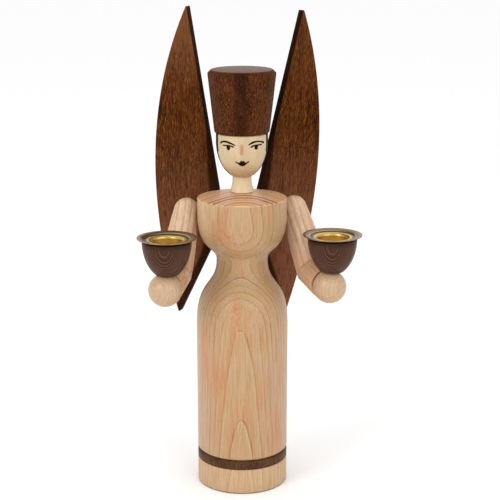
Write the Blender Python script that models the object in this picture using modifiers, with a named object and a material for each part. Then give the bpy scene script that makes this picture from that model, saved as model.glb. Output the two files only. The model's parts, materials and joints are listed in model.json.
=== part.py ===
"""Turned wooden angel that holds two candles, built as separate glued pieces.

Units are metres, +Z is up. The origin is the centre of the foot's underside,
the figure faces -Y, and left and right are as seen from in front of it.
"""
import math

import bmesh
import bpy
from mathutils import Vector

# Clearances between glued or seated pieces
GLUE_GAP = 0.0003
DOWEL_END_GAP = 0.0005

# Foot disc and the dark band on it
BASE_RADIUS = 0.0320
FOOT_HEIGHT = 0.0180
FOOT_CHAMFER = 0.0006
BAND_HEIGHT = 0.0063
GROOVE_DEPTH = 0.0013

# Dowel that pins foot, band and body together
BASE_DOWEL_RADIUS = 0.0050
BASE_DOWEL_IN_FOOT = 0.0120
BASE_DOWEL_IN_BODY = 0.0200

# Body, turned in one piece: skirt, waist and chest, measured from the body's underside
HIP_SWELL = 0.0002
HIP_HEIGHT = 0.0922
HIP_FULLNESS = 0.0327
WAIST_RADIUS = 0.0179
WAIST_HEIGHT = 0.1389
WAIST_FLOW_DOWN = 0.0200
WAIST_FLOW_UP = 0.0096
CHEST_SETBACK = 0.0008
CHEST_RADIUS = BASE_RADIUS - CHEST_SETBACK
CHEST_HEIGHT = 0.1705
CHEST_FULLNESS = 0.0246
SHOULDER_HEIGHT = 0.1831
SHOULDER_RISE = 0.0040
SHOULDER_ROUND = 0.0012

# Neck and head, turned in one piece, measured from the neck's foot
NECK_FOOT_RADIUS = 0.0083
NECK_RADIUS = 0.0065
NECK_HEIGHT = 0.0090
NECK_TENON_RADIUS = 0.0045
NECK_TENON_LENGTH = 0.0115
HEAD_RADIUS = 0.0179
HEAD_MIDDLE = 0.0347
CHIN_DEPTH = 0.0259
HEAD_HEIGHT = 0.0408
CROWN_EDGE = 0.0006
CROWN_TENON_RADIUS = 0.0090
CROWN_TENON_LENGTH = 0.0120

# Hat, a blind turned block on the crown tenon
HAT_BOTTOM_RADIUS = 0.0190
HAT_TOP_RADIUS = 0.0235
HAT_HEIGHT = 0.0430
HAT_TOP_CHAMFER = 0.0025
HAT_BOTTOM_CHAMFER = 0.0006

# Arms: a shoulder, an elbow and a wrist, each given from the one before it
SHOULDER_SWING = math.radians(15.5)
SHOULDER_DROP = 0.0107
SHOULDER_BEDDING = 0.0008
ELBOW_OUT = {"left": 0.0095, "right": 0.0110}
ELBOW_FORWARD = 0.0186
ELBOW_DOWN = 0.0409
WRIST_OUT = {"left": 0.0083, "right": 0.0069}
WRIST_FORWARD = 0.0310
WRIST_DOWN = {"left": 0.0043, "right": 0.0053}
ARM_TOP_RADIUS = 0.0087
ELBOW_RADIUS = 0.0115
ARM_FULLNESS = 0.0250
CUFF_RADIUS = 0.0109
CUFF_SETBACK = 0.0082
CUFF_CHAMFER = 0.0004
ARM_DOWEL_RADIUS = 0.0020
ARM_DOWEL_IN_BODY = 0.0080
ARM_DOWEL_IN_ARM = 0.0070

# Hands, cups and their dowels
HAND_RADIUS = 0.0114
HAND_FLAT_DEPTH = 0.0009
CUP_OVER_CUFF = 0.0003
WRIST_DOWEL_RADIUS = 0.0018
WRIST_DOWEL_IN_HAND = 0.0044
WRIST_DOWEL_IN_ARM = 0.0070
CUP_RADIUS = 0.0167
CUP_CURVE_HEIGHT = 0.0259
CUP_HEIGHT = 0.0231
CUP_RIM_CHAMFER = 0.0004
CUP_SHIFT = 0.0015
CUP_DOWEL_RADIUS = 0.0020
CUP_DOWEL_IN_HAND = 0.0050
CUP_DOWEL_IN_CUP = 0.0045

# Brass candle inserts, spun from sheet
SOCKET_RADIUS = 0.0107
SOCKET_DEPTH = 0.0140
SOCKET_CORNER = 0.0010
BRASS_SHEET = 0.0006
LIP_ROUND = 0.0018
RECESS_RADIUS = 0.0148
RECESS_STEP = 0.0007
FLANGE_RADIUS = 0.0200
FLANGE_RISE = 0.0009

# Wings, sawn from board and coved to the round of the chest
WING_THICKNESS = 0.0060
WING_SEAT_ANGLE = {"left": math.radians(51.1), "right": math.radians(48.1)}
WING_SWEEP = math.radians(26.7)
WING_LEAN = math.radians(3.05)
WING_CORNER_INSET = {"left": 0.0088, "right": 0.0127}
WING_CORNER_DROP = 0.0223
WING_TOP_RISE = 0.1492
WING_TOP_OUT = 0.0339
WING_TOP_TIP = 0.0010
WING_BOTTOM_DROP = 0.0713
WING_BOTTOM_OUT = 0.0303
WING_BOTTOM_TIP = 0.0012
WING_BOW_REACH = 0.0722
WING_BOW_TOP_PULL = 0.0308
WING_BOW_BOTTOM_PULL = 0.0246
WING_ARRIS = 0.0004
WING_DOWEL_RADIUS = 0.0012
WING_DOWEL_DROP = 0.0100
WING_DOWEL_IN_BODY = 0.0080
WING_DOWEL_IN_WING = 0.0060

# Heights that follow from the stack of pieces
BAND_BOTTOM = FOOT_HEIGHT + GLUE_GAP
BODY_BOTTOM = BAND_BOTTOM + BAND_HEIGHT + GLUE_GAP
SHOULDER_EDGE = BODY_BOTTOM + SHOULDER_HEIGHT
NECK_SEAT = SHOULDER_EDGE + SHOULDER_RISE
HEAD_BOTTOM = NECK_SEAT + GLUE_GAP
HAT_BOTTOM = HEAD_BOTTOM + HEAD_HEIGHT + GLUE_GAP
HAND_FLAT_HEIGHT = HAND_RADIUS - HAND_FLAT_DEPTH

# Fineness of the turned and drawn shapes
LARGE_STEPS = 36
SMALL_STEPS = 24
DOWEL_STEPS = 12
EDGE_POINTS = 4
CURVE_POINTS = 10
BOW_POINTS = 22
ARRIS_SEGMENTS = 2
ARRIS_ANGLE = math.radians(40.0)
MERGE = 0.00001
SHARP_ANGLE = math.radians(32.0)

# Cutters reach this far past the piece that they cut
CUT_PAST = 0.0060
CUT_BLOCK = 0.0600

SIDES = {"left": -1, "right": 1}

LIGHT_WOOD = ("light_wood", (0.62, 0.41, 0.25, 1.0), 0.50, 0.0)
DARK_WOOD = ("dark_wood", (0.13, 0.045, 0.022, 1.0), 0.42, 0.0)
CUP_WOOD = ("cup_wood", (0.085, 0.032, 0.024, 1.0), 0.38, 0.0)
HEAD_LACQUER = ("head_lacquer", (0.86, 0.72, 0.50, 1.0), 0.30, 0.0)
DOWEL_WOOD = ("dowel_wood", (0.66, 0.47, 0.28, 1.0), 0.60, 0.0)
BRASS = ("brass", (0.80, 0.58, 0.22, 1.0), 0.22, 1.0)


def clear_scene():
    """Remove the objects that the file opened with."""
    for old in list(bpy.data.objects):
        bpy.data.objects.remove(old, do_unlink=True)


def new_collection(name):
    """Add a collection under the scene's own."""
    collection = bpy.data.collections.new(name)
    bpy.context.scene.collection.children.link(collection)
    return collection


def finish(part, look):
    """Give a part its own Principled material, named for the part and its finish."""
    finish_name, colour, roughness, metallic = look
    material = bpy.data.materials.new(part.name + "_" + finish_name)
    material.use_nodes = True
    shader = material.node_tree.nodes["Principled BSDF"]
    shader.inputs["Base Color"].default_value = colour
    shader.inputs["Roughness"].default_value = roughness
    shader.inputs["Metallic"].default_value = metallic
    part.data.materials.clear()
    part.data.materials.append(material)


def evaluated_mesh(source, name):
    """Return what an object's modifiers or curve settings make, as a plain mesh."""
    bpy.context.view_layer.update()
    graph = bpy.context.evaluated_depsgraph_get()
    mesh = bpy.data.meshes.new_from_object(source.evaluated_get(graph))
    mesh.name = name
    return mesh


def shade_round(mesh):
    """Shade a mesh smooth, with its real corners kept sharp."""
    mesh.shade_smooth()
    mesh.set_sharp_from_angle(angle=SHARP_ANGLE)


def turned(name, profile, steps, collection, closed=False):
    """Turn a profile of (radius, height) points, which runs down its outer side."""
    form = bmesh.new()
    points = [form.verts.new((radius, 0.0, height)) for radius, height in profile]
    for first, second in zip(points, points[1:]):
        form.edges.new((first, second))
    if closed:
        form.edges.new((points[-1], points[0]))
    outline = bpy.data.meshes.new(name + "_profile")
    form.to_mesh(outline)
    form.free()
    blank = bpy.data.objects.new(name + "_blank", outline)
    collection.objects.link(blank)
    screw = blank.modifiers.new("turn", "SCREW")
    screw.axis = "Z"
    screw.angle = math.tau
    screw.steps = steps
    screw.render_steps = steps
    screw.use_merge_vertices = True
    screw.merge_threshold = MERGE
    mesh = evaluated_mesh(blank, name)
    bpy.data.objects.remove(blank, do_unlink=True)
    bpy.data.meshes.remove(outline)
    shade_round(mesh)
    part = bpy.data.objects.new(name, mesh)
    collection.objects.link(part)
    return part


def sawn(name, outline, thickness, arris, collection):
    """Saw a flat board to an outline of (across, along) points and ease its edges."""
    curve = bpy.data.curves.new(name + "_outline", "CURVE")
    curve.dimensions = "2D"
    curve.fill_mode = "BOTH"
    curve.extrude = thickness / 2.0
    spline = curve.splines.new("POLY")
    spline.points.add(len(outline) - 1)
    for point, (across, along) in zip(spline.points, outline):
        point.co = (across, along, 0.0, 1.0)
    spline.use_cyclic_u = True
    drawn = bpy.data.objects.new(name + "_drawn", curve)
    collection.objects.link(drawn)
    mesh = evaluated_mesh(drawn, name)
    bpy.data.objects.remove(drawn, do_unlink=True)
    form = bmesh.new()
    form.from_mesh(mesh)
    bmesh.ops.remove_doubles(form, verts=form.verts, dist=MERGE)
    bmesh.ops.recalc_face_normals(form, faces=form.faces)
    form.to_mesh(mesh)
    form.free()
    part = bpy.data.objects.new(name, mesh)
    collection.objects.link(part)
    ease = part.modifiers.new("eased_arris", "BEVEL")
    ease.width = arris
    ease.segments = ARRIS_SEGMENTS
    ease.limit_method = "ANGLE"
    ease.angle_limit = ARRIS_ANGLE
    return part


def along(direction):
    """Rotation that turns +Z to a direction."""
    return direction.to_track_quat("Z", "Y").to_euler()


def as_cutter(shape):
    """Show a cutting shape as a wire and keep it out of the picture."""
    shape.display_type = "WIRE"
    shape.hide_render = True
    return shape


def round_cutter(name, radius, start, end, steps):
    """A cylinder between two points."""
    length = (end - start).length
    profile = [(0.0, length), (radius, length), (radius, 0.0), (0.0, 0.0)]
    cutter = turned(name, profile, steps, CUTTERS)
    cutter.location = start
    cutter.rotation_euler = along(end - start)
    return as_cutter(cutter)


def half_space_cutter(name, point, normal):
    """A block whose one face passes through a point, with all of it on the normal's side."""
    form = bmesh.new()
    bmesh.ops.create_cube(form, size=CUT_BLOCK)
    bmesh.ops.translate(form, verts=form.verts, vec=(0.0, 0.0, CUT_BLOCK / 2.0))
    mesh = bpy.data.meshes.new(name)
    form.to_mesh(mesh)
    form.free()
    cutter = bpy.data.objects.new(name, mesh)
    CUTTERS.objects.link(cutter)
    cutter.location = point
    cutter.rotation_euler = along(normal)
    return as_cutter(cutter)


def ball_cutter(name, radius, centre):
    """A ball round a point."""
    form = bmesh.new()
    bmesh.ops.create_uvsphere(form, u_segments=LARGE_STEPS, v_segments=LARGE_STEPS // 2, radius=radius)
    mesh = bpy.data.meshes.new(name)
    form.to_mesh(mesh)
    form.free()
    cutter = bpy.data.objects.new(name, mesh)
    CUTTERS.objects.link(cutter)
    cutter.location = centre
    return as_cutter(cutter)


def cut(part, cutter):
    """Cut a shape out of a part."""
    boolean = part.modifiers.new("cut_" + cutter.name, "BOOLEAN")
    boolean.operation = "DIFFERENCE"
    boolean.solver = "EXACT"
    boolean.object = cutter


def arc(centre, radii, first_angle, last_angle, count):
    """Points of an upright ellipse arc; an angle of 0 points out, 90 degrees up."""
    points = []
    for index in range(count + 1):
        angle = first_angle + (last_angle - first_angle) * index / count
        radius = centre[0] + radii[0] * math.cos(angle)
        height = centre[1] + radii[1] * math.sin(angle)
        points.append((radius, height))
    return points


def drawn_curve(start, start_handle, end_handle, end, count):
    """Points of the cubic curve between start and end that two handles shape."""
    points = []
    for index in range(count + 1):
        late = index / count
        early = 1.0 - late
        weights = (early ** 3, 3.0 * early ** 2 * late, 3.0 * early * late ** 2, late ** 3)
        corners = (start, start_handle, end_handle, end)
        across = sum(weight * corner[0] for weight, corner in zip(weights, corners))
        along_it = sum(weight * corner[1] for weight, corner in zip(weights, corners))
        points.append((across, along_it))
    return points


def flow(top, bottom, top_handle, bottom_handle, count):
    """Points of a curve that leaves top and reaches bottom upright, like a drawn-in waist."""
    under_top = (top[0], top[1] - top_handle)
    over_bottom = (bottom[0], bottom[1] + bottom_handle)
    return drawn_curve(top, under_top, over_bottom, bottom, count)


def make_foot_disc():
    """Light disc that the figure stands on, with a blind hole for the dowel."""
    hole = BASE_DOWEL_RADIUS + GLUE_GAP
    hole_floor = FOOT_HEIGHT - BASE_DOWEL_IN_FOOT - DOWEL_END_GAP
    profile = [
        (0.0, hole_floor),
        (hole, hole_floor),
        (hole, FOOT_HEIGHT),
        (BASE_RADIUS, FOOT_HEIGHT),
        (BASE_RADIUS, FOOT_CHAMFER),
        (BASE_RADIUS - FOOT_CHAMFER, 0.0),
        (0.0, 0.0),
    ]
    part = turned("foot_disc", profile, LARGE_STEPS, PARTS)
    finish(part, LIGHT_WOOD)


def make_band():
    """Dark ring between foot and skirt, with the lower half of the groove on its top edge."""
    hole = BASE_DOWEL_RADIUS + GLUE_GAP
    profile = [
        (hole, BAND_HEIGHT),
        (BASE_RADIUS - GROOVE_DEPTH, BAND_HEIGHT),
        (BASE_RADIUS, BAND_HEIGHT - GROOVE_DEPTH),
        (BASE_RADIUS, 0.0),
        (hole, 0.0),
    ]
    part = turned("dark_band", profile, LARGE_STEPS, PARTS, closed=True)
    part.location = (0.0, 0.0, BAND_BOTTOM)
    finish(part, DARK_WOOD)


def make_base_dowel():
    """Hidden dowel up the middle of foot, band and body."""
    length = BODY_BOTTOM + BASE_DOWEL_IN_BODY - (FOOT_HEIGHT - BASE_DOWEL_IN_FOOT)
    profile = [(0.0, length), (BASE_DOWEL_RADIUS, length), (BASE_DOWEL_RADIUS, 0.0), (0.0, 0.0)]
    part = turned("base_dowel", profile, DOWEL_STEPS, PARTS)
    part.location = (0.0, 0.0, FOOT_HEIGHT - BASE_DOWEL_IN_FOOT)
    finish(part, DOWEL_WOOD)


def make_body():
    """Skirt, waist and chest in one turning, bored for its dowels and the neck."""
    neck_hole = NECK_TENON_RADIUS + GLUE_GAP
    neck_top = SHOULDER_HEIGHT + SHOULDER_RISE
    neck_floor = neck_top - NECK_TENON_LENGTH - DOWEL_END_GAP
    base_hole = BASE_DOWEL_RADIUS + GLUE_GAP
    profile = [
        (0.0, neck_floor),
        (neck_hole, neck_floor),
        (neck_hole, neck_top),
        (NECK_FOOT_RADIUS, neck_top),
    ]
    round_centre = (CHEST_RADIUS - SHOULDER_ROUND, SHOULDER_HEIGHT - SHOULDER_ROUND)
    profile += arc(round_centre, (SHOULDER_ROUND, SHOULDER_ROUND), math.pi / 2.0, 0.0, EDGE_POINTS)
    waist = (WAIST_RADIUS, WAIST_HEIGHT)
    profile += flow((CHEST_RADIUS, CHEST_HEIGHT), waist, CHEST_FULLNESS, WAIST_FLOW_UP, CURVE_POINTS)
    hip = (BASE_RADIUS + HIP_SWELL, HIP_HEIGHT)
    profile += flow(waist, hip, WAIST_FLOW_DOWN, HIP_FULLNESS, CURVE_POINTS)[1:]
    profile += [
        (BASE_RADIUS, GROOVE_DEPTH),
        (BASE_RADIUS - GROOVE_DEPTH, 0.0),
        (base_hole, 0.0),
        (base_hole, BASE_DOWEL_IN_BODY + DOWEL_END_GAP),
        (0.0, BASE_DOWEL_IN_BODY + DOWEL_END_GAP),
    ]
    part = turned("body", profile, LARGE_STEPS, PARTS)
    part.location = (0.0, 0.0, BODY_BOTTOM)
    finish(part, LIGHT_WOOD)
    return part


def make_head():
    """Neck and head in one turning, with a tenon at each end."""
    crown = HEAD_HEIGHT
    chin_angle = -math.acos(NECK_RADIUS / HEAD_RADIUS)
    profile = [
        (0.0, crown + CROWN_TENON_LENGTH),
        (CROWN_TENON_RADIUS, crown + CROWN_TENON_LENGTH),
        (CROWN_TENON_RADIUS, crown),
        (HEAD_RADIUS - CROWN_EDGE, crown),
        (HEAD_RADIUS, crown - CROWN_EDGE),
    ]
    profile += arc((0.0, HEAD_MIDDLE), (HEAD_RADIUS, CHIN_DEPTH), 0.0, chin_angle, CURVE_POINTS)
    neck_top = (NECK_RADIUS, NECK_HEIGHT)
    profile += flow(neck_top, (NECK_FOOT_RADIUS, 0.0), NECK_HEIGHT / 2.0, 0.0, EDGE_POINTS)
    profile += [
        (NECK_TENON_RADIUS, 0.0),
        (NECK_TENON_RADIUS, -NECK_TENON_LENGTH),
        (0.0, -NECK_TENON_LENGTH),
    ]
    part = turned("head", profile, LARGE_STEPS, PARTS)
    part.location = (0.0, 0.0, HEAD_BOTTOM)
    finish(part, HEAD_LACQUER)


def make_hat():
    """Tall block hat that widens upwards, bored for the crown tenon."""
    bore = CROWN_TENON_RADIUS + GLUE_GAP
    bore_top = CROWN_TENON_LENGTH + DOWEL_END_GAP - GLUE_GAP
    profile = [
        (0.0, HAT_HEIGHT),
        (HAT_TOP_RADIUS - HAT_TOP_CHAMFER, HAT_HEIGHT),
        (HAT_TOP_RADIUS, HAT_HEIGHT - HAT_TOP_CHAMFER),
        (HAT_BOTTOM_RADIUS, HAT_BOTTOM_CHAMFER),
        (HAT_BOTTOM_RADIUS - HAT_BOTTOM_CHAMFER, 0.0),
        (bore, 0.0),
        (bore, bore_top),
        (0.0, bore_top),
    ]
    part = turned("hat", profile, LARGE_STEPS, PARTS)
    part.location = (0.0, 0.0, HAT_BOTTOM)
    finish(part, DARK_WOOD)


def arm_points(side, sign):
    """Shoulder, elbow and wrist on the sleeves' centre line, and the hand's centre.

    The hand sits high in the cuff, so that the cup on it clears the cuff's top edge.
    """
    reach = CHEST_RADIUS + GLUE_GAP + ARM_TOP_RADIUS - SHOULDER_BEDDING
    shoulder = Vector((sign * reach * math.cos(SHOULDER_SWING), reach * math.sin(SHOULDER_SWING), 0.0))
    shoulder.z = SHOULDER_EDGE - SHOULDER_DROP
    elbow = shoulder + Vector((sign * ELBOW_OUT[side], -ELBOW_FORWARD, -ELBOW_DOWN))
    run = Vector((sign * WRIST_OUT[side], -WRIST_FORWARD, -WRIST_DOWN[side]))
    wrist = elbow + run
    level = math.hypot(run.x, run.y)
    cuff_top = (CUFF_SETBACK * -run.z + CUFF_RADIUS * level) / run.length
    lift = cuff_top + CUP_OVER_CUFF - GLUE_GAP - HAND_FLAT_HEIGHT
    return shoulder, elbow, wrist, wrist + Vector((0.0, 0.0, lift))


def make_dowel(name, radius, start, end):
    """Straight dowel between two points."""
    length = (end - start).length
    profile = [(0.0, length), (radius, length), (radius, 0.0), (0.0, 0.0)]
    part = turned(name, profile, DOWEL_STEPS, PARTS)
    part.location = start
    part.rotation_euler = along(end - start)
    finish(part, DOWEL_WOOD)


def dowel_hole(name, radius, start, end):
    """Cutter for a dowel's hole, wider and longer than the dowel."""
    step = (end - start).normalized() * DOWEL_END_GAP
    return round_cutter(name, radius + GLUE_GAP, start - step, end + step, DOWEL_STEPS)


def make_upper_arm(side, shoulder, elbow, wrist, chest_cutter):
    """Domed sleeve from shoulder to elbow, coved to the chest and mitred at the elbow."""
    rise = shoulder - elbow
    length = rise.length
    profile = arc((0.0, length), (ARM_TOP_RADIUS, ARM_TOP_RADIUS), math.pi / 2.0, 0.0, EDGE_POINTS)
    widening = flow(profile[-1], (ELBOW_RADIUS, 0.0), 0.0, ARM_FULLNESS, EDGE_POINTS)
    profile += widening[1:]
    profile += [(ELBOW_RADIUS, -CUT_PAST), (0.0, -CUT_PAST)]
    part = turned(side + "_upper_arm", profile, SMALL_STEPS, PARTS)
    part.location = elbow
    part.rotation_euler = along(rise)
    mitre = mitre_normal(shoulder, elbow, wrist)
    cut(part, half_space_cutter(side + "_upper_mitre", elbow - mitre * GLUE_GAP / 2.0, mitre))
    cut(part, chest_cutter)
    finish(part, LIGHT_WOOD)
    return part


def mitre_normal(shoulder, elbow, wrist):
    """Direction square to the elbow's mitre, towards the wrist."""
    return ((elbow - shoulder).normalized() + (wrist - elbow).normalized()).normalized()


def make_forearm(side, shoulder, elbow, wrist, hand):
    """Sleeve from the elbow's mitre to the cuff, hollowed to seat the hand."""
    run = wrist - elbow
    cuff = run.length - CUFF_SETBACK
    profile = [
        (0.0, cuff),
        (CUFF_RADIUS - CUFF_CHAMFER, cuff),
        (CUFF_RADIUS, cuff - CUFF_CHAMFER),
        (ELBOW_RADIUS, -CUT_PAST),
        (0.0, -CUT_PAST),
    ]
    part = turned(side + "_forearm", profile, SMALL_STEPS, PARTS)
    part.location = elbow
    part.rotation_euler = along(run)
    mitre = mitre_normal(shoulder, elbow, wrist)
    cut(part, half_space_cutter(side + "_fore_mitre", elbow + mitre * GLUE_GAP / 2.0, -mitre))
    cut(part, ball_cutter(side + "_hand_seat", HAND_RADIUS + GLUE_GAP, hand))
    finish(part, LIGHT_WOOD)
    return part


def make_hand(side, hand):
    """Turned ball with a flat on top for the cup."""
    flat_angle = math.asin(HAND_FLAT_HEIGHT / HAND_RADIUS)
    profile = [(0.0, HAND_FLAT_HEIGHT)]
    profile += arc((0.0, 0.0), (HAND_RADIUS, HAND_RADIUS), flat_angle, -math.pi / 2.0, CURVE_POINTS)
    part = turned(side + "_hand", profile, SMALL_STEPS, PARTS)
    part.location = hand
    finish(part, LIGHT_WOOD)
    return part


def make_cup(side, foot):
    """Dark egg-shaped cup, bored above for the insert and below for its dowel."""
    foot_angle = -math.asin(CUP_HEIGHT / CUP_CURVE_HEIGHT)
    bore = SOCKET_RADIUS + BRASS_SHEET + GLUE_GAP
    bore_floor = CUP_HEIGHT - SOCKET_DEPTH - BRASS_SHEET
    hole = CUP_DOWEL_RADIUS + GLUE_GAP
    hole_top = CUP_DOWEL_IN_CUP + DOWEL_END_GAP
    lip = LIP_ROUND + GLUE_GAP
    profile = [
        (0.0, bore_floor),
        (bore, bore_floor),
        (bore, CUP_HEIGHT - lip),
        (bore + lip, CUP_HEIGHT),
        (CUP_RADIUS - CUP_RIM_CHAMFER, CUP_HEIGHT),
        (CUP_RADIUS, CUP_HEIGHT - CUP_RIM_CHAMFER),
    ]
    side_curve = arc((0.0, CUP_HEIGHT), (CUP_RADIUS, CUP_CURVE_HEIGHT), 0.0, foot_angle, CURVE_POINTS)
    profile += side_curve[1:]
    profile += [(hole, 0.0), (hole, hole_top), (0.0, hole_top)]
    part = turned(side + "_cup", profile, LARGE_STEPS, PARTS)
    part.location = foot
    finish(part, CUP_WOOD)


def make_insert(side, cup_top):
    """Brass socket with a rounded mouth and a wide drip flange that lies on the cup."""
    top = GLUE_GAP + BRASS_SHEET
    floor = top - SOCKET_DEPTH
    wall = SOCKET_RADIUS + BRASS_SHEET
    under_lip = LIP_ROUND - BRASS_SHEET
    mouth_centre = (SOCKET_RADIUS + LIP_ROUND, top - LIP_ROUND)
    profile = [
        (0.0, floor),
        (SOCKET_RADIUS - SOCKET_CORNER, floor),
        (SOCKET_RADIUS, floor + SOCKET_CORNER),
    ]
    profile += arc(mouth_centre, (LIP_ROUND, LIP_ROUND), math.pi, math.pi / 2.0, EDGE_POINTS)
    profile += [
        (RECESS_RADIUS, top),
        (RECESS_RADIUS + RECESS_STEP, top + RECESS_STEP),
        (FLANGE_RADIUS, top + RECESS_STEP + FLANGE_RISE),
        (FLANGE_RADIUS, top + RECESS_STEP + FLANGE_RISE - BRASS_SHEET),
        (RECESS_RADIUS + RECESS_STEP, top + RECESS_STEP - BRASS_SHEET),
        (RECESS_RADIUS, top - BRASS_SHEET),
    ]
    profile += arc(mouth_centre, (under_lip, under_lip), math.pi / 2.0, math.pi, EDGE_POINTS)
    profile += [
        (wall, floor - BRASS_SHEET + SOCKET_CORNER),
        (wall - SOCKET_CORNER, floor - BRASS_SHEET),
        (0.0, floor - BRASS_SHEET),
    ]
    part = turned(side + "_candle_insert", profile, LARGE_STEPS, PARTS)
    part.location = cup_top
    finish(part, BRASS)


def make_arm(side, sign, body, chest_cutter):
    """One whole arm: sleeve, hand, cup, brass insert and the dowels between them."""
    shoulder, elbow, wrist, hand = arm_points(side, sign)
    upper_arm = make_upper_arm(side, shoulder, elbow, wrist, chest_cutter)
    forearm = make_forearm(side, shoulder, elbow, wrist, hand)
    ball = make_hand(side, hand)

    outwards = Vector((shoulder.x, shoulder.y, 0.0)).normalized()
    chest_point = outwards * CHEST_RADIUS + Vector((0.0, 0.0, shoulder.z))
    dowel = (chest_point - outwards * ARM_DOWEL_IN_BODY, chest_point + outwards * ARM_DOWEL_IN_ARM)
    make_dowel(side + "_shoulder_dowel", ARM_DOWEL_RADIUS, *dowel)
    hole = dowel_hole(side + "_shoulder_hole", ARM_DOWEL_RADIUS, *dowel)
    cut(body, hole)
    cut(upper_arm, hole)

    backwards = (elbow - hand).normalized()
    palm = hand + backwards * HAND_RADIUS
    dowel = (palm - backwards * WRIST_DOWEL_IN_HAND, palm + backwards * WRIST_DOWEL_IN_ARM)
    make_dowel(side + "_wrist_dowel", WRIST_DOWEL_RADIUS, *dowel)
    hole = dowel_hole(side + "_wrist_hole", WRIST_DOWEL_RADIUS, *dowel)
    cut(forearm, hole)
    cut(ball, hole)

    cup_foot = hand + Vector((CUP_SHIFT, 0.0, HAND_FLAT_HEIGHT + GLUE_GAP))
    make_cup(side, cup_foot)
    make_insert(side, cup_foot + Vector((0.0, 0.0, CUP_HEIGHT)))
    upwards = Vector((0.0, 0.0, 1.0))
    dowel = (cup_foot - upwards * CUP_DOWEL_IN_HAND, cup_foot + upwards * CUP_DOWEL_IN_CUP)
    make_dowel(side + "_cup_dowel", CUP_DOWEL_RADIUS, *dowel)
    cut(ball, dowel_hole(side + "_cup_hole", CUP_DOWEL_RADIUS, *dowel))


def wing_outline(sign):
    """Wing seen square on, from its inner corner: two straight inner edges and one long bow."""
    top = Vector((WING_TOP_OUT + WING_TOP_TIP, WING_TOP_RISE))
    bottom = Vector((WING_BOTTOM_OUT + WING_BOTTOM_TIP, -WING_BOTTOM_DROP))
    down = (bottom - top).normalized()
    outwards = Vector((-down.y, down.x))
    top_handle = top + down * WING_BOW_REACH + outwards * WING_BOW_TOP_PULL
    bottom_handle = bottom - down * WING_BOW_REACH + outwards * WING_BOW_BOTTOM_PULL
    points = [(0.0, 0.0), (WING_TOP_OUT, WING_TOP_RISE)]
    points += drawn_curve(top, top_handle, bottom_handle, bottom, BOW_POINTS)
    points.append((WING_BOTTOM_OUT, -WING_BOTTOM_DROP))
    return [(sign * across, up) for across, up in points]


def make_wing(side, sign, body, chest_cutter):
    """Flat wing that stands behind the shoulder, swept back and coved to the chest."""
    seat_radius = CHEST_RADIUS + GLUE_GAP
    spread = Vector((sign * math.cos(WING_SWEEP), math.sin(WING_SWEEP), 0.0))
    front = Vector((sign * math.sin(WING_SWEEP), -math.cos(WING_SWEEP), 0.0))
    seat_angle = WING_SEAT_ANGLE[side]
    seat_edge = seat_radius * Vector((sign * math.cos(seat_angle), math.sin(seat_angle), 0.0))
    middle = seat_edge - front * WING_THICKNESS / 2.0

    part = sawn(side + "_wing", wing_outline(sign), WING_THICKNESS, WING_ARRIS, PARTS)
    corner = middle - spread * WING_CORNER_INSET[side]
    part.location = corner + Vector((0.0, 0.0, SHOULDER_EDGE - WING_CORNER_DROP))
    part.rotation_euler = (math.pi / 2.0, WING_LEAN, sign * WING_SWEEP)
    cut(part, chest_cutter)
    finish(part, DARK_WOOD)

    # The dowel lies in the board's middle, from where that meets the chest
    inward = middle.dot(spread)
    seat = middle + spread * (math.sqrt(inward ** 2 - middle.length_squared + seat_radius ** 2) - inward)
    seat.z = SHOULDER_EDGE - WING_DOWEL_DROP
    dowel = (seat - spread * WING_DOWEL_IN_BODY, seat + spread * WING_DOWEL_IN_WING)
    make_dowel(side + "_wing_dowel", WING_DOWEL_RADIUS, *dowel)
    hole = dowel_hole(side + "_wing_hole", WING_DOWEL_RADIUS, *dowel)
    cut(part, hole)
    cut(body, hole)


clear_scene()
PARTS = new_collection("angel_candle_holder")
CUTTERS = new_collection("cutters")

make_foot_disc()
make_band()
make_base_dowel()
BODY = make_body()
make_head()
make_hat()
CUT_FOOT = Vector((0.0, 0.0, 0.0))
CUT_TOP = Vector((0.0, 0.0, SHOULDER_EDGE + WING_TOP_RISE))
CHEST_CUTTER = round_cutter("chest_round", CHEST_RADIUS + GLUE_GAP, CUT_FOOT, CUT_TOP, 2 * LARGE_STEPS)
for SIDE, SIGN in SIDES.items():
    make_arm(SIDE, SIGN, BODY, CHEST_CUTTER)
    make_wing(SIDE, SIGN, BODY, CHEST_CUTTER)
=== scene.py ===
"""Looks of the turned wooden angel that holds two candles.

Units are metres, +Z is up, the figure faces -Y. Left and right are as seen from in front.
"""

import json
import math

import bmesh
import bpy
from mathutils import Euler, Matrix, Vector

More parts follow.
